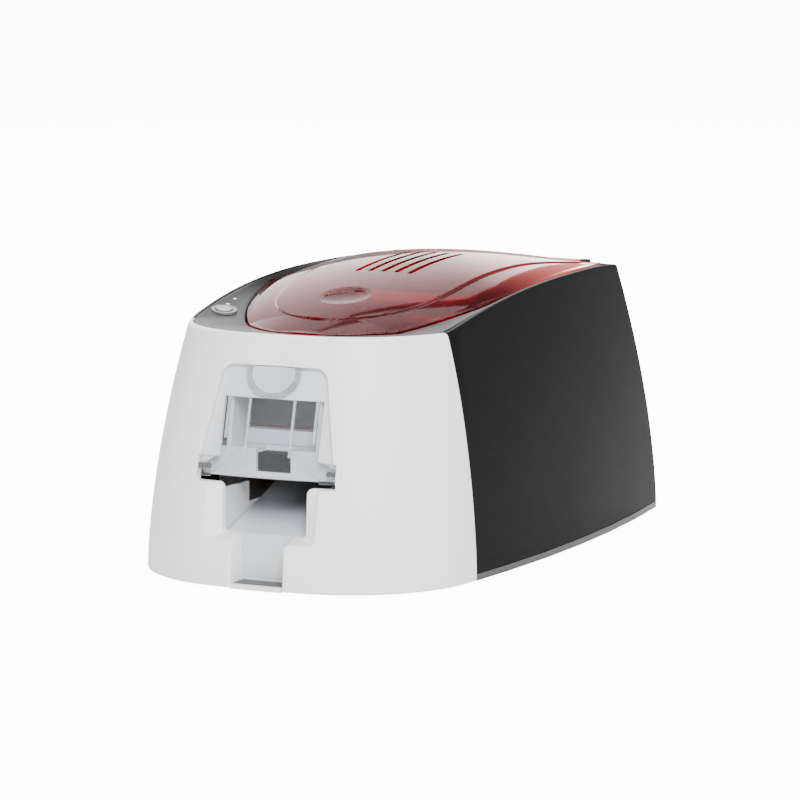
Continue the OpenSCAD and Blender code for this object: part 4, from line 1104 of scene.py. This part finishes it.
def rod_piece(name: str, x0: float, x1: float, y: float, z: float, radius: float, bevel: float = 0.0,
              bore: float = 0.0) -> bpy.types.Object:
    """A rod or tube along X with bevelled ends, in millimetres."""
    turn = Matrix.Translation((x0, y, z)) @ Matrix.Rotation(math.radians(90), 4, "Y")
    length = x1 - x0
    profile = [(bore, 0), (radius - bevel, 0), (radius, bevel), (radius, length - bevel),
               (radius - bevel, length), (bore, length)] if bevel else \
        [(bore, 0), (radius, 0), (radius, length), (bore, length)]
    return spin(name, profile, turn, 40)


def cover_outline(foot_z: float, ears: bool) -> list[Point2]:
    """Outline of the feeder cover on the front face, counter-clockwise from its foot."""
    slope, top_z = 0.185, 131.0
    foot_x = 45.5 + slope * (67 - foot_z)
    top_x = 45.5 - slope * (top_z - 67)
    foot = [(-foot_x, foot_z, 0.8)]
    if ears:
        foot += [(-36.4, foot_z, 0.3), (-36.0, 66.5, 0.3)] + [(-24 + 12 * k, 66.5, 0) for k in range(5)]
        foot += [(36.0, 66.5, 0.3), (36.4, foot_z, 0.3)]
    else:
        foot += [(-24 + 12 * k, foot_z, 0) for k in range(5)]
    right = [(foot_x + (top_x - foot_x) * k / 6, foot_z + (top_z - foot_z) * k / 6, 0) for k in range(1, 6)]
    top = [(top_x, top_z, 8.5)] + [(14 - 7 * k, top_z, 0) for k in range(5)] + [(-top_x, top_z, 8.5)]
    return rounded(foot + [(foot_x, foot_z, 0.8)] + right + top + [(-x, z, 0) for x, z, _ in reversed(right)])


def dish_frame() -> Matrix:
    """Where the finger dish lies: its axis points out of the leaning front."""
    slope = math.atan(FORM.front_lean * FORM.lean_power * FORM.lean(DISH_Z) / DISH_Z)
    return (Matrix.Translation((0, FORM.front_y(DISH_Z), DISH_Z)) @ Matrix.Rotation(-slope, 4, "X")
            @ Matrix.Rotation(math.radians(90), 4, "X") @ Matrix.Diagonal((DISH_STRETCH, 1.0, 1.0, 1.0)))


def dish_cutter() -> bpy.types.Object:
    """Cutter of the finger dish: a shallow ball with a soft rim."""
    ball = (DISH_R ** 2 + DISH_DEPTH ** 2) / (2 * DISH_DEPTH)
    profile = [(0.0, -DISH_DEPTH)]
    for k in range(1, 15):
        r = DISH_R * k / 14
        profile.append((r, -DISH_DEPTH + ball - math.sqrt(ball * ball - r * r)))
    profile += [(DISH_R + 1.0, 0.35), (DISH_R + 3.0, 1.4), (DISH_R + 3.0, 8.0), (0.0, 8.0)]
    return spin("dish_cutter", profile, dish_frame(), 96)


def dish_backing(drop: float) -> bpy.types.Object:
    """The dish's wall in the feeder cover.

    Args:
        drop: how far its back lies behind the dish.

    Returns:
        The lens-shaped solid, cut off below the feeder cover's top edge.
    """
    ball = (DISH_R ** 2 + DISH_DEPTH ** 2) / (2 * DISH_DEPTH)
    reach = DISH_R + 0.4
    profile = [(0.0, -DISH_DEPTH - drop)]
    for k in range(1, 15):
        r = reach * k / 14
        profile.append((r, max(-DISH_DEPTH - drop + ball - math.sqrt(ball * ball - r * r), -DISH_DEPTH - drop)))
    profile += [(reach, -0.9), (0.0, -0.9)]
    lens = spin("dish_back", profile, dish_frame(), 64)
    return carve(lens, box_solid("clip", (-40, -240, 130.7), (40, -100, 160)))


# ---- Feeder cover -------------------------------------------------------------------


@dataclass
class FeederCover:
    """Clear cover over the card feeder, with ribs, knuckles and its half of the finger dish."""

    thickness: float = 2.6
    rib_depth: float = 1.3

    def build(self) -> None:
        """Makes the cover, its bright lower edge and its knuckles."""
        outline = cover_outline(65.2, True)
        slab = FaceSolid("feeder_cover_sheet", (0, 98))
        for inset, depth in ((0.7, 0.02), (0.25, 0.14), (0.02, 0.6), (0.0, 2.1), (0.2, 2.45), (0.6, 2.6)):
            slab.at_depth(offset(outline, -inset), depth)
        sheet = slab.build(10)
        carve(sheet, dish_backing(1.2))
        carve(sheet, dish_cutter())
        dish = carve(dish_backing(1.16), dish_cutter())
        dish.name = "feeder_cover_dish"
        place(smooth(dish, 40), "feeder_cover_unit", "clear_cover").data.materials[0] = Finishes.FROSTED.material()
        place(smooth(sheet, 40), "feeder_cover_unit", "clear_cover", "feeder_cover")
        ribs = join("feeder_cover_ribs", *(self._rib(x) for x in (-29.0, -14.5, 15.0, 29.5)))
        place(smooth(ribs, 40), "feeder_cover_unit", "clear_cover").data.materials[0] = Finishes.CLEAR_EDGE.material()
        self._edge()
        knuckles = join("feeder_cover_knuckles", *(
            rod_piece("knuckle", s * 41.5 - 2.6, s * 41.5 + 2.6, AXIS_Y, AXIS_Z, 3.0, 0.3, 1.55) for s in (-1, 1)))
        place(smooth(knuckles), "feeder_cover_unit", "clear_cover")

    def _rib(self, x: float) -> bpy.types.Object:
        """A rib behind the sheet."""
        low = 88.0 if abs(x) > 20 else 79.0
        outline = rounded([(x - 0.8, low, 0.5), (x + 0.8, low, 0.5), (x + 0.8, 112, 0.5), (x - 0.8, 112, 0.5)], 3)
        rib = FaceSolid("rib", (x, (low + 112) / 2))
        return rib.at_depth(outline, 2.62).at_depth(outline, 3.4).at_depth(offset(outline, -0.25), 3.8).build(3)

    def _edge(self) -> None:
        """The thick, light-catching bead along the cover's foot."""
        stations = []
        for k in range(61):
            x = -35.4 + 70.8 * k / 60
            ring = []
            for i in range(12):
                a = 2 * math.pi * i / 12
                depth, z = 1.55 + 1.25 * math.cos(a), 67.35 + 0.75 * math.sin(a)
                ring.append((x, FORM.front_at(x, z, depth), z))
            stations.append(ring)
        bead = smooth(sweep("feeder_cover_bead", stations), 60)
        place(bead, "feeder_cover_unit", "clear_cover")
        bead.data.materials[0] = Finishes.CLEAR_EDGE.material()


@dataclass
class Inserts:
    """Dark sheet behind the feeder's mouth, put there as painted shade, and the pale sill in the finger slot."""

    plate_half: float = 27.4
    plate_y: float = -141.0
    sill_half: float = 16.8

    def build(self) -> None:
        """Makes both."""
        # painted shade: a black sheet behind the feeder's mouth that darkens the space above the cards
        plate = box_solid("feeder_mouth_shade_plate", (-self.plate_half, self.plate_y, 91.9), (self.plate_half, self.plate_y + 1.5, 127.0))
        place(plate, "housing", "black_plastic")
        x = self.sill_half
        outline = [(-x + 2 * x * k / 16, 1.0) for k in range(17)] + [(x - 2 * x * k / 16, 3.7) for k in range(17)]
        sill = FaceSolid("slot_sill", (0, 2.3)).at_depth(outline, 0.95).at_depth(offset(outline, 0.001), 12.0).build(2)
        place(smooth(sill), "housing", "white_shell")


# ---- Side covers and rear panel -----------------------------------------------------


@dataclass
class SideCovers:
    """Charcoal side covers that turn in at the rear."""

    foot_z: float = 5.8
    wall: float = 2.6
    rear_x: float = 72.0
    stations: int = 120

    def build(self) -> None:
        """Makes both covers."""
        for side, name in ((-1, "left_side_cover"), (1, "right_side_cover")):
            stations = [self._station(k / self.stations, side) for k in range(self.stations + 1)]
            cover = sweep(name + "_shell", stations)
            place(smooth(cover), "housing", "charcoal_shell", name)

    def _station(self, share: float, side: int) -> list[Point3]:
        """One upright cross-section of the wall."""
        top = 160.0
        for _ in range(6):
            top = FORM.rim(FORM.side_path(share, top, 0.0, self.rear_x)[1])
        ring = []
        for z, inset in FORM.wall_section(self.foot_z, top, self.wall, 0.6, 1.1, 40):
            x, y = FORM.side_path(share, z, inset, self.rear_x)
            ring.append((side * x, y, z))
        return ring


@dataclass
class RearPanel:
    """Rear panel with vents, a lock slot and the openings of the two sockets."""

    half: float = 71.7
    foot_z: float = 5.8
    top_z: float = 161.0
    wall: float = 2.6
    vent_count: int = 6
    vent_pitch: float = 9.0

    def build(self) -> None:
        """Makes the panel."""
        section = FORM.wall_section(self.foot_z, self.top_z, self.wall, 0.6, 0.8, 40)
        stations = [[(-self.half + 2 * self.half * k / 24, FORM.rear_y(z) - inset, z) for z, inset in section]
                    for k in range(25)]
        panel = sweep("rear_panel_shell", stations)
        vent = slot_cutter("vent", (-55, 140, 70), (55, 200, 73), "Y")
        Repeat(self.vent_count, (0, 0, self.vent_pitch)).apply(vent, Finishes.CHARCOAL)
        carve(panel, vent)
        for low, high in (((-51.8, 140, 13.3), (-40.2, 200, 25.9)), ((-24.3, 140, 13.3), (-11.7, 200, 24.9)),
                          ((54.5, 140, 40.0), (61.5, 200, 43.5))):
            carve(panel, slot_cutter("opening", low, high, "Y", 0.8))
        place(smooth(panel), "housing", "charcoal_shell", "rear_panel")


def slot_cutter(name: str, low: Point3, high: Point3, axis: str, radius: float = 0.0) -> bpy.types.Object:
    """A cutter with rounded corners that runs along Y or Z.

    Args:
        name: its name.
        low: its lowest corner in millimetres.
        high: its highest corner.
        axis: the axis it is drawn out along.
        radius: corner radius; 0 takes half its smaller side.

    Returns:
        The cutter.
    """
    other = 2 if axis == "Y" else 1
    radius = radius or min(high[0] - low[0], high[other] - low[other]) / 2 - 0.01
    outline = rounded([(low[0], low[other], radius), (high[0], low[other], radius),
                       (high[0], high[other], radius), (low[0], high[other], radius)], 6)
    if axis == "Y":
        stations = [[(x, y, z) for x, z in outline] for y in (low[1], high[1])]
    else:
        stations = [[(x, y, z) for x, y in outline] for z in (low[2], high[2])]
    return sweep(name, stations)


# ---- Lid ----------------------------------------------------------------------------


@dataclass(frozen=True)
class LidForm:
    """The lid's outline and dome, in millimetres."""

    front_y: float = -127.0
    wide_y: float = 100.0
    half_width: float = 91.0
    plan_power: float = 2.3
    side_land: float = 6.0
    rear_y: float = 144.5
    corner_r: float = 10.0
    dome_power: float = 0.8
    panel: tuple[Point2, ...] = ((-107, 0.5), (-106, 8), (-103, 16.5), (-97, 26), (-87, 36.5), (-74, 45),
                                 (-58, 51), (-38, 55), (-10, 56.6), (20, 57.5), (60, 60), (90, 65), (125, 72))
    panel_rear: float = 128.0
    step: float = 0.6

    def half(self, y: float) -> float:
        """Half the lid's width at y."""
        t = max((self.wide_y - y) / (self.wide_y - self.front_y), 0.0)
        nose = self.half_width * max(1 - t ** self.plan_power, 0.0) ** (1 / self.plan_power)
        side = FORM.side_at(y, FORM.rim(max(y, FORM.seam_y))) - self.side_land
        back = self.half_width
        if y > self.rear_y - self.corner_r:
            back += math.sqrt(max(self.corner_r ** 2 - (y - self.rear_y + self.corner_r) ** 2, 0)) - self.corner_r
        return min(nose, side, back)

    def edge(self, y: float) -> float:
        """Height of the lid's side edge."""
        return 166.6 - 20 * ((90 - min(max(y, -100), 90)) / 190) ** 1.9

    def crest(self, y: float) -> float:
        """Height of the lid on its centre line."""
        if y < 55:
            return 177.45 - 30.45 * ((55 - y) / 182) ** 2.05
        return 177.45 - 9 * ((y - 55) / 89.5) ** 2.4

    def dome(self, x: float, y: float) -> float:
        """Height of the plain dome."""
        low = min(self.edge(y), self.crest(y))
        share = min(abs(x) / max(self.half(y), 0.1), 1.0)
        return low + (self.crest(y) - low) * max(1 - share * share, 0.0) ** self.dome_power

    def panel_half(self, y: float) -> float:
        """Half the raised panel's width at y."""
        return min(interpolate(self.panel, y), self.half(y) - 6.0) if y > self.panel[0][0] else 0.3

    def relief(self, x: float, y: float) -> float:
        """How far the surface lies below the plain dome: the band round the panel and the thumb dish."""
        half = self.half(y)
        outside = max(abs(x) - self.panel_half(y), y - self.panel_rear, (self.panel[0][0] - y) * 0.5)
        band = min(max(outside / 0.8 + 0.5, 0.0), 1.0)
        band = band * band * (3 - 2 * band)
        rim = min(max((half - abs(x)) / 3.5, 0.0), 1.0) * min(max((y - self.front_y) / 3.5, 0.0), 1.0)
        sunk = self.step * band * rim
        reach = self.dish_reach(x, y)
        if reach < 1.0:
            sunk += 2.2 * (1 - reach * reach) ** 0.6
        return sunk

    def dish_reach(self, x: float, y: float) -> float:
        """How far out of the thumb dish a place lies; 1 is its rim."""
        return math.hypot(x, (y + 68.5) / 0.96) / 15.2

    def on_line(self, x: float, y: float) -> bool:
        """True on the step round the panel and on the thumb dish's rim, where the painted shade line goes."""
        inside = self.panel[0][0] < y < self.panel_rear
        return (inside and abs(abs(x) - self.panel_half(y)) < 0.5) or 0.9 < self.dish_reach(x, y) < 1.02


LID = LidForm()


@dataclass
class Lid:
    """See-through lid with a raised panel, a thumb dish, curved vents, posts and hook ribs."""

    thickness: float = 2.4
    columns: int = 58
    inner: int = 34
    rows: int = 150
    vent_count: int = 5
    vent_pitch: float = 9.0

    def build(self) -> None:
        """Makes the lid."""
        lid = self._dome()
        carve(lid, self._hinge_room())
        vent = self._vent()
        Repeat(self.vent_count, (self.vent_pitch, 0, 0)).apply(vent, Finishes.RED)
        carve(lid, vent)
        posts = [self._post(x, y) for x in (-30, 30) for y in (4, 44)]
        ribs = [self._rib(x) for x in (-5.5, 0.0, 5.5)]
        lid = join("lid_shell", lid, *posts, *ribs)
        place(smooth(lid, 50), "lid_unit", "red_lid", "lid")
        # painted shade on the step round the panel and on the dish's rim, lighter on the left as a painted highlight
        lid.data.materials.append(Finishes.RED_PAINTED_STEP.material())
        for polygon in lid.data.polygons:
            x, y, _ = (c / MM for c in polygon.center)
            polygon.material_index = int(LID.on_line(x, y) and abs(polygon.normal.z) > 0.5)

    def _row(self, y: float, sink: float) -> list[Point3]:
        """One row across the lid."""
        half, panel = LID.half(y), LID.panel_half(y)
        panel = min(max(panel, half * 0.3), half - 1.6)
        row = [(-half, y, LID.dome(half, y) - 0.7 - sink)]
        for i in range(-self.columns, self.columns + 1):
            k = abs(i)
            if k <= self.inner:
                x = (panel - 0.45) * k / self.inner
            elif k <= self.inner + 3:
                x = panel - 0.45 + 0.3 * (k - self.inner)
            else:
                x = panel + 0.45 + (half - 0.8 - panel) * math.sin(
                    math.radians(90 * (k - self.inner - 3) / (self.columns - self.inner - 3)))
            x = math.copysign(x, i)
            row.append((x, y, LID.dome(x, y) - LID.relief(x, y) - sink))
        row.append((half, y, LID.dome(half, y) - 0.7 - sink))
        return row

    def _dome(self) -> bpy.types.Object:
        """The shell: a top sheet and an under sheet closed along the rim."""
        length = LID.rear_y - LID.front_y - 0.15
        ys = [LID.front_y + 0.15 + length * (0.82 * (j / self.rows) ** 1.25 + 0.18 * (j / self.rows) ** 3)
              for j in range(self.rows + 1)]
        ys[-1] = LID.rear_y - 0.02
        top = [point for y in ys for point in self._row(y, 0.0)]
        under = [point for y in ys for point in
                 [(x * (1 - 0.4 / max(LID.half(y), 1.0)), y, z - self.thickness + 0.3 * (abs(x) > LID.half(y) - 0.1))
                  for x, y, z in self._row(y, 0.0)]]
        cols, rows = 2 * self.columns + 3, self.rows + 1
        size = cols * rows
        faces = []
        for j in range(rows - 1):
            for i in range(cols - 1):
                a = j * cols + i
                faces.append([a, a + 1, a + cols + 1, a + cols])
                faces.append([size + a, size + a + cols, size + a + cols + 1, size + a + 1])
        rim = list(range(cols)) + [j * cols + cols - 1 for j in range(1, rows)]
        rim += [(rows - 1) * cols + i for i in range(cols - 2, -1, -1)] + [j * cols for j in range(rows - 2, 0, -1)]
        for k, a in enumerate(rim):
            b = rim[(k + 1) % len(rim)]
            faces.append([a, a + size, b + size, b])
        return make_object("lid_dome", top + under, faces)

    def _vent(self) -> bpy.types.Object:
        """Cutter of the first vent, a straight upright slot with round ends through the dome."""
        x0 = -(self.vent_count - 1) / 2 * self.vent_pitch
        return slot_cutter("lid_vent", (x0 - 1.8, -17, 150), (x0 + 1.8, 62, 190), "Z")

    def _hinge_room(self) -> bpy.types.Object:
        """Cutter of the room for the hinge tube and the bearing blocks."""
        tube = rod_piece("room", -113, 113, 146.0, 165.0, 3.15)
        for s in (-1, 1):
            carve(tube, rod_piece("room", s * 67.4 - 2.9, s * 67.4 + 2.9, 146.0, 165.0, 3.6), "UNION")
        return tube

    def _post(self, x: float, y: float) -> bpy.types.Object:
        """A post that carries the print head's carrier."""
        top = LID.dome(x, y) - 2.0
        profile = [(0, 153.0), (2.9, 153.0), (3.1, 153.3), (3.5, top - 2), (4.4, top), (0, top)]
        return spin("post", profile, Matrix.Translation((x, y, 0)), 32)

    def _rib(self, x: float) -> bpy.types.Object:
        """A rib above the latch hook."""
        top = LID.dome(x, -70) - 3.6
        return slot_cutter("hook_rib", (x - 1.4, -73, 154), (x + 1.4, -67, top), "Z", 0.6)


# ---- Bezel and control --------------------------------------------------------------


BUTTON_FRAME = (Matrix.Translation((-76.0, -83.0, 152.5)) @ Matrix.Rotation(math.radians(8.5), 4, "Y")
                @ Matrix.Rotation(math.radians(8), 4, "X"))
LIGHT_PLACES = ((-79.5, -71.5, 154.3), (-81.0, -59.5, 156.2))


@dataclass
class Bezel:
    """Dark band between the lid and the covers, with the hinge's bearings at the rear."""

    inset: float = 2.9
    gap: float = 0.8
    thickness: float = 2.4
    bay_y: float = 149.6
    centre: Point2 = (0.0, 20.0)

    def build(self) -> None:
        """Makes the bezel."""
        ring = self._ring()
        carve(ring, spin("ring_hole", [(0, -10), (8.15, -10), (8.15, 10), (0, 10)], BUTTON_FRAME, 64))
        for spot in LIGHT_PLACES:
            frame_of = Matrix.Translation(spot) @ BUTTON_FRAME.to_3x3().to_4x4()
            carve(ring, spin("light_hole", [(0, -10), (1.45, -10), (1.45, 10), (0, 10)], frame_of, 24))
        ring = join("top_bezel_shell", ring, self._trough(), *self._bearings(), *self._tabs())
        place(smooth(ring), "housing", "bezel_grey", "top_bezel")

    def _inner_half(self) -> list[Point2]:
        """Right half of the loop round the lid, from the tip to the rear."""
        start, stop = LID.front_y + 0.15, LID.rear_y - LID.corner_r
        ys = [start + (stop - start) * (j / 90) ** 1.8 for j in range(91)]
        edge = [(LID.half(y), y) for y in ys]
        loop = [(0.0, start - self.gap), (max(edge[0][0] - 1.0, 0.6), start - self.gap)]
        for j in range(len(edge)):
            (ax, ay), (bx, by) = edge[max(j - 1, 0)], edge[min(j + 1, len(edge) - 1)]
            size = math.hypot(bx - ax, by - ay)
            loop.append((edge[j][0] + self.gap * (by - ay) / size, edge[j][1] - self.gap * (bx - ax) / size))
        far = edge[-1][0] + self.gap
        loop += [(far, 140.0), (far, 146.0), (far - 0.4, self.bay_y - 0.4), (far - 1.2, self.bay_y)]
        return loop + [(x, self.bay_y) for x in (80, 65, 50, 35, 20, 0)]

    def _outline(self, z: float) -> list[Point2]:
        """Right half of the rim line the bezel fits in, at a height."""
        front = [FORM.front_path(k / 60, z, self.inset) for k in range(61)]
        side = [FORM.side_path(k / 60, z, self.inset, 60.0) for k in range(61)]
        return front + side + [(0.0, FORM.rear_y(z) - self.inset)]

    def _hit(self, point: Point2, z: float) -> Point2:
        """Where the ray from the centre through a point meets the rim line."""
        cx, cy = self.centre
        vx, vy = point[0] - cx, point[1] - cy
        best = 1.0
        loop = self._outline(z)
        for (ax, ay), (bx, by) in zip(loop, loop[1:]):
            ex, ey = bx - ax, by - ay
            k = vx * ey - vy * ex
            if abs(k) < 1e-9:
                continue
            t = ((ax - cx) * ey - (ay - cy) * ex) / k
            u = ((ax - cx) * vy - (ay - cy) * vx) / k
            if -0.001 <= u <= 1.001 and t > best:
                best = t
        return (cx + vx * best, cy + vy * best)

    def _inner_z(self, point: Point2) -> float:
        """Height of the bezel beside the lid."""
        x, y = point
        if y > LID.rear_y:
            return LID.dome(min(abs(x), LID.half_width - LID.corner_r), LID.rear_y - 0.05) - 1.2
        return min(LID.edge(y), LID.crest(y)) - 0.6

    def _ring(self) -> bpy.types.Object:
        """The band itself."""
        half = self._inner_half()
        stations = []
        for point in half:
            near = self._hit(point, 159.0)
            far = self._hit(point, FORM.rim(near[1]))
            z0, z1 = self._inner_z(point), FORM.rim(near[1]) - 0.1
            span = max(math.hypot(far[0] - point[0], far[1] - point[1]), 1.0)

            def at(reach: float, sink: float) -> Point3:
                """A point of the cross-section, reach millimetres from the lid."""
                u = reach / span
                return (point[0] + (far[0] - point[0]) * u, point[1] + (far[1] - point[1]) * u,
                        z0 + (z1 - z0) * u - sink)

            row = [at(0, self.thickness), at(0, 0.6), at(0.18, 0.18), at(0.6, 0.0)]
            row += [at(0.6 + (span - 1.2) * k / 8, 0.0) for k in range(1, 8)]
            row += [at(span - 0.6, 0.0), at(span - 0.18, 0.18), at(span, 0.6), at(span, self.thickness)]
            stations.append(row)
        left = [[(-x, y, z) for x, y, z in row] for row in reversed(stations[1:-1])]
        return sweep("bezel_ring", stations + left, closed=True)

    def _trough(self) -> bpy.types.Object:
        """The channel below the hinge."""
        outline = [(140.0, 159.8), (151.1, 159.8), (151.1, 164.6), (149.9, 164.6), (149.9, 161.3), (140.0, 161.3)]
        return sweep("trough", [[(x, y, z) for y, z in outline] for x in (-76, -38, 0, 38, 76)])

    def _bearings(self) -> list[bpy.types.Object]:
        """The two blocks that hold the hinge pins."""
        made = []
        for s in (-1, 1):
            outline = [(146.0 + 3.2 * math.cos(math.radians(a)), 165.0 + 3.2 * math.sin(math.radians(a)))
                       for a in range(0, 181, 12)] + [(144.0, 160.55), (149.6, 160.55)]
            block = sweep("bearing", [[(s * 67.4 + dx, y, z) for y, z in outline] for dx in (-2.5, 2.5)])
            made.append(carve(block, rod_piece("bore", s * 67.4 - 6, s * 67.4 + 6, 146.0, 165.0, 1.6)))
        return made

    def _tabs(self) -> list[bpy.types.Object]:
        """Snap tabs under the outer edge."""
        made = []
        for s in (-1, 1):
            for y in (0, 50, 100):
                top = FORM.rim(y)
                x = s * (FORM.side_at(y, top, self.inset) - 1.4)
                made.append(box_solid("tab", (x - 1, y - 4, top - 8), (x + 1, y + 4, top - self.thickness + 0.1)))
        return made


@dataclass
class Control:
    """Round button in its ring, and the two small lights behind it."""

    def build(self) -> None:
        """Makes the button, the ring and the lights."""
        cap = spin("button_cap", [(2.2, -7.5), (6.4, -7.5), (6.4, -6.5), (5.0, -6.5), (5.0, 0.1), (4.75, 0.5),
                                  (4.2, 0.72), (3.2, 0.62), (1.6, 0.42), (0.0, 0.36), (0.0, -2.5), (2.2, -2.5)],
                   BUTTON_FRAME, 64)
        place(smooth(cap), "button", "button_grey", "control_button")
        ring = spin("button_bezel", [(7.0, -11), (8.0, -11), (8.0, 0.05), (7.7, 0.4), (7.2, 0.5), (6.2, 0.2),
                                     (5.6, -0.3), (5.2, -1.0), (5.2, -6.2), (7.0, -6.2)], BUTTON_FRAME, 64)
        place(smooth(ring), "housing", "dark_grey_plastic", "button_ring")
        lights = []
        for spot in LIGHT_PLACES:
            frame_of = Matrix.Translation(spot) @ BUTTON_FRAME.to_3x3().to_4x4()
            lights.append(spin("light", [(0, -4), (1.3, -4), (1.3, 0.0), (1.1, 0.2), (0.6, 0.28), (0, 0.3)], frame_of, 24))
        place(smooth(join("light_pipes", *lights)), "housing", "lens", "indicator_lights")


# ---- Studio -------------------------------------------------------------------------


@dataclass
class Studio:
    """Pale floor, soft lights and the camera of the photograph."""

    azimuth: float = 25.61
    elevation: float = 8.09
    distance: float = 2600.0
    pixels_per_mm: float = 1.598
    target: Point3 = (3.95, 0.0, 90.5)
    picture: float = 800.0
    floor_half: float = 6.0
    backdrop: float = 12.0
    surround: float = 0.65

    def build(self) -> None:
        """Adds the floor, the world, the lights and the camera."""
        self._floor()
        self._world()
        self._light("key_softbox", (1.5, -2.5, 2.2), (0, 0, 0.08), 1.5, 200.0)
        self._light("top_softbox", (-0.2, 0.9, 2.2), (0, 0, 0.1), 1.6, 62.0)
        self._light("back_softbox", (-1.8, 2.4, 1.5), (0, 0, 0.12), 2.2, 75.0)
        self._light("right_fill", (2.4, -1.6, 1.3), (0, 0, 0.12), 0.3, 9.0)
        self._camera()

    def _floor(self) -> None:
        """A pale floor that runs on behind the printer."""
        mesh = bpy.data.meshes.new("studio_floor")
        half = self.floor_half
        mesh.from_pydata([(-half, -half, 0), (half, -half, 0), (half, half, 0), (-half, half, 0)], [], [(0, 1, 2, 3)])
        floor = bpy.data.objects.new("studio_floor", mesh)
        bpy.context.scene.collection.objects.link(floor)
        graph = ShaderGraph("studio_floor")
        shader = graph.node("ShaderNodeBsdfPrincipled", None, {
            "Base Color": (0.9, 0.9, 0.9), "Roughness": 0.9, "Specular IOR Level": 0.1,
            "Emission Color": (1.0, 1.0, 1.0), "Emission Strength": self._seen(graph) * self.backdrop})
        floor.data.materials.append(graph.finish(shader.outputs[0]))

    def _world(self) -> None:
        """An even, bright surround."""
        world = bpy.data.worlds.new("studio")
        bpy.context.scene.world = world
        world.use_nodes = True
        graph = ShaderGraph.of(world.node_tree)
        background = world.node_tree.nodes["Background"]
        background.inputs["Color"].default_value = (1.0, 1.0, 1.0, 1.0)
        graph.plug(background.inputs["Strength"], self._seen(graph) * self.backdrop + self.surround)

    @staticmethod
    def _seen(graph: ShaderGraph) -> Value:
        """1 where the camera looks straight at a surface, 0 where it only lights others."""
        return Value(graph, graph.node("ShaderNodeLightPath").outputs["Is Camera Ray"])

    def _light(self, name: str, place: Point3, aim: Point3, size: float, power: float) -> None:
        """Adds a square soft light.

        Args:
            name: its name.
            place: where it hangs, in metres.
            aim: the point it looks at.
            size: its side in metres.
            power: its power in watts.
        """
        data = bpy.data.lights.new(name, "AREA")
        data.size = size
        data.energy = power
        lamp = bpy.data.objects.new(name, data)
        lamp.location = place
        lamp.rotation_euler = (Vector(aim) - Vector(place)).to_track_quat("-Z", "Y").to_euler()
        bpy.context.scene.collection.objects.link(lamp)

    def _camera(self) -> None:
        """The photograph's point of view."""
        turn, rise = math.radians(self.azimuth), math.radians(self.elevation)
        back = Vector((math.sin(turn) * math.cos(rise), -math.cos(turn) * math.cos(rise), math.sin(rise)))
        data = bpy.data.cameras.new("camera")
        data.sensor_width = 36.0
        data.lens = data.sensor_width * self.distance * self.pixels_per_mm / self.picture
        data.clip_end = 50.0
        camera = bpy.data.objects.new("camera", data)
        camera.location = (Vector(self.target) + back * self.distance) * MM
        camera.rotation_euler = (-back).to_track_quat("-Z", "Y").to_euler()
        bpy.context.scene.collection.objects.link(camera)
        bpy.context.scene.camera = camera


def main() -> None:
    """Builds the pieces, dresses the rest of the model and sets the studio."""
    logging.basicConfig(level=logging.INFO, format="%(name)s: %(message)s")
    dress_cad_nodes()
    for assembly in (FrontCover(), FeederCover(), Inserts(), SideCovers(), RearPanel(), Lid(), Bezel(), Control()):
        assembly.build()
    Studio().build()


if __name__ == "__main__":
    main()
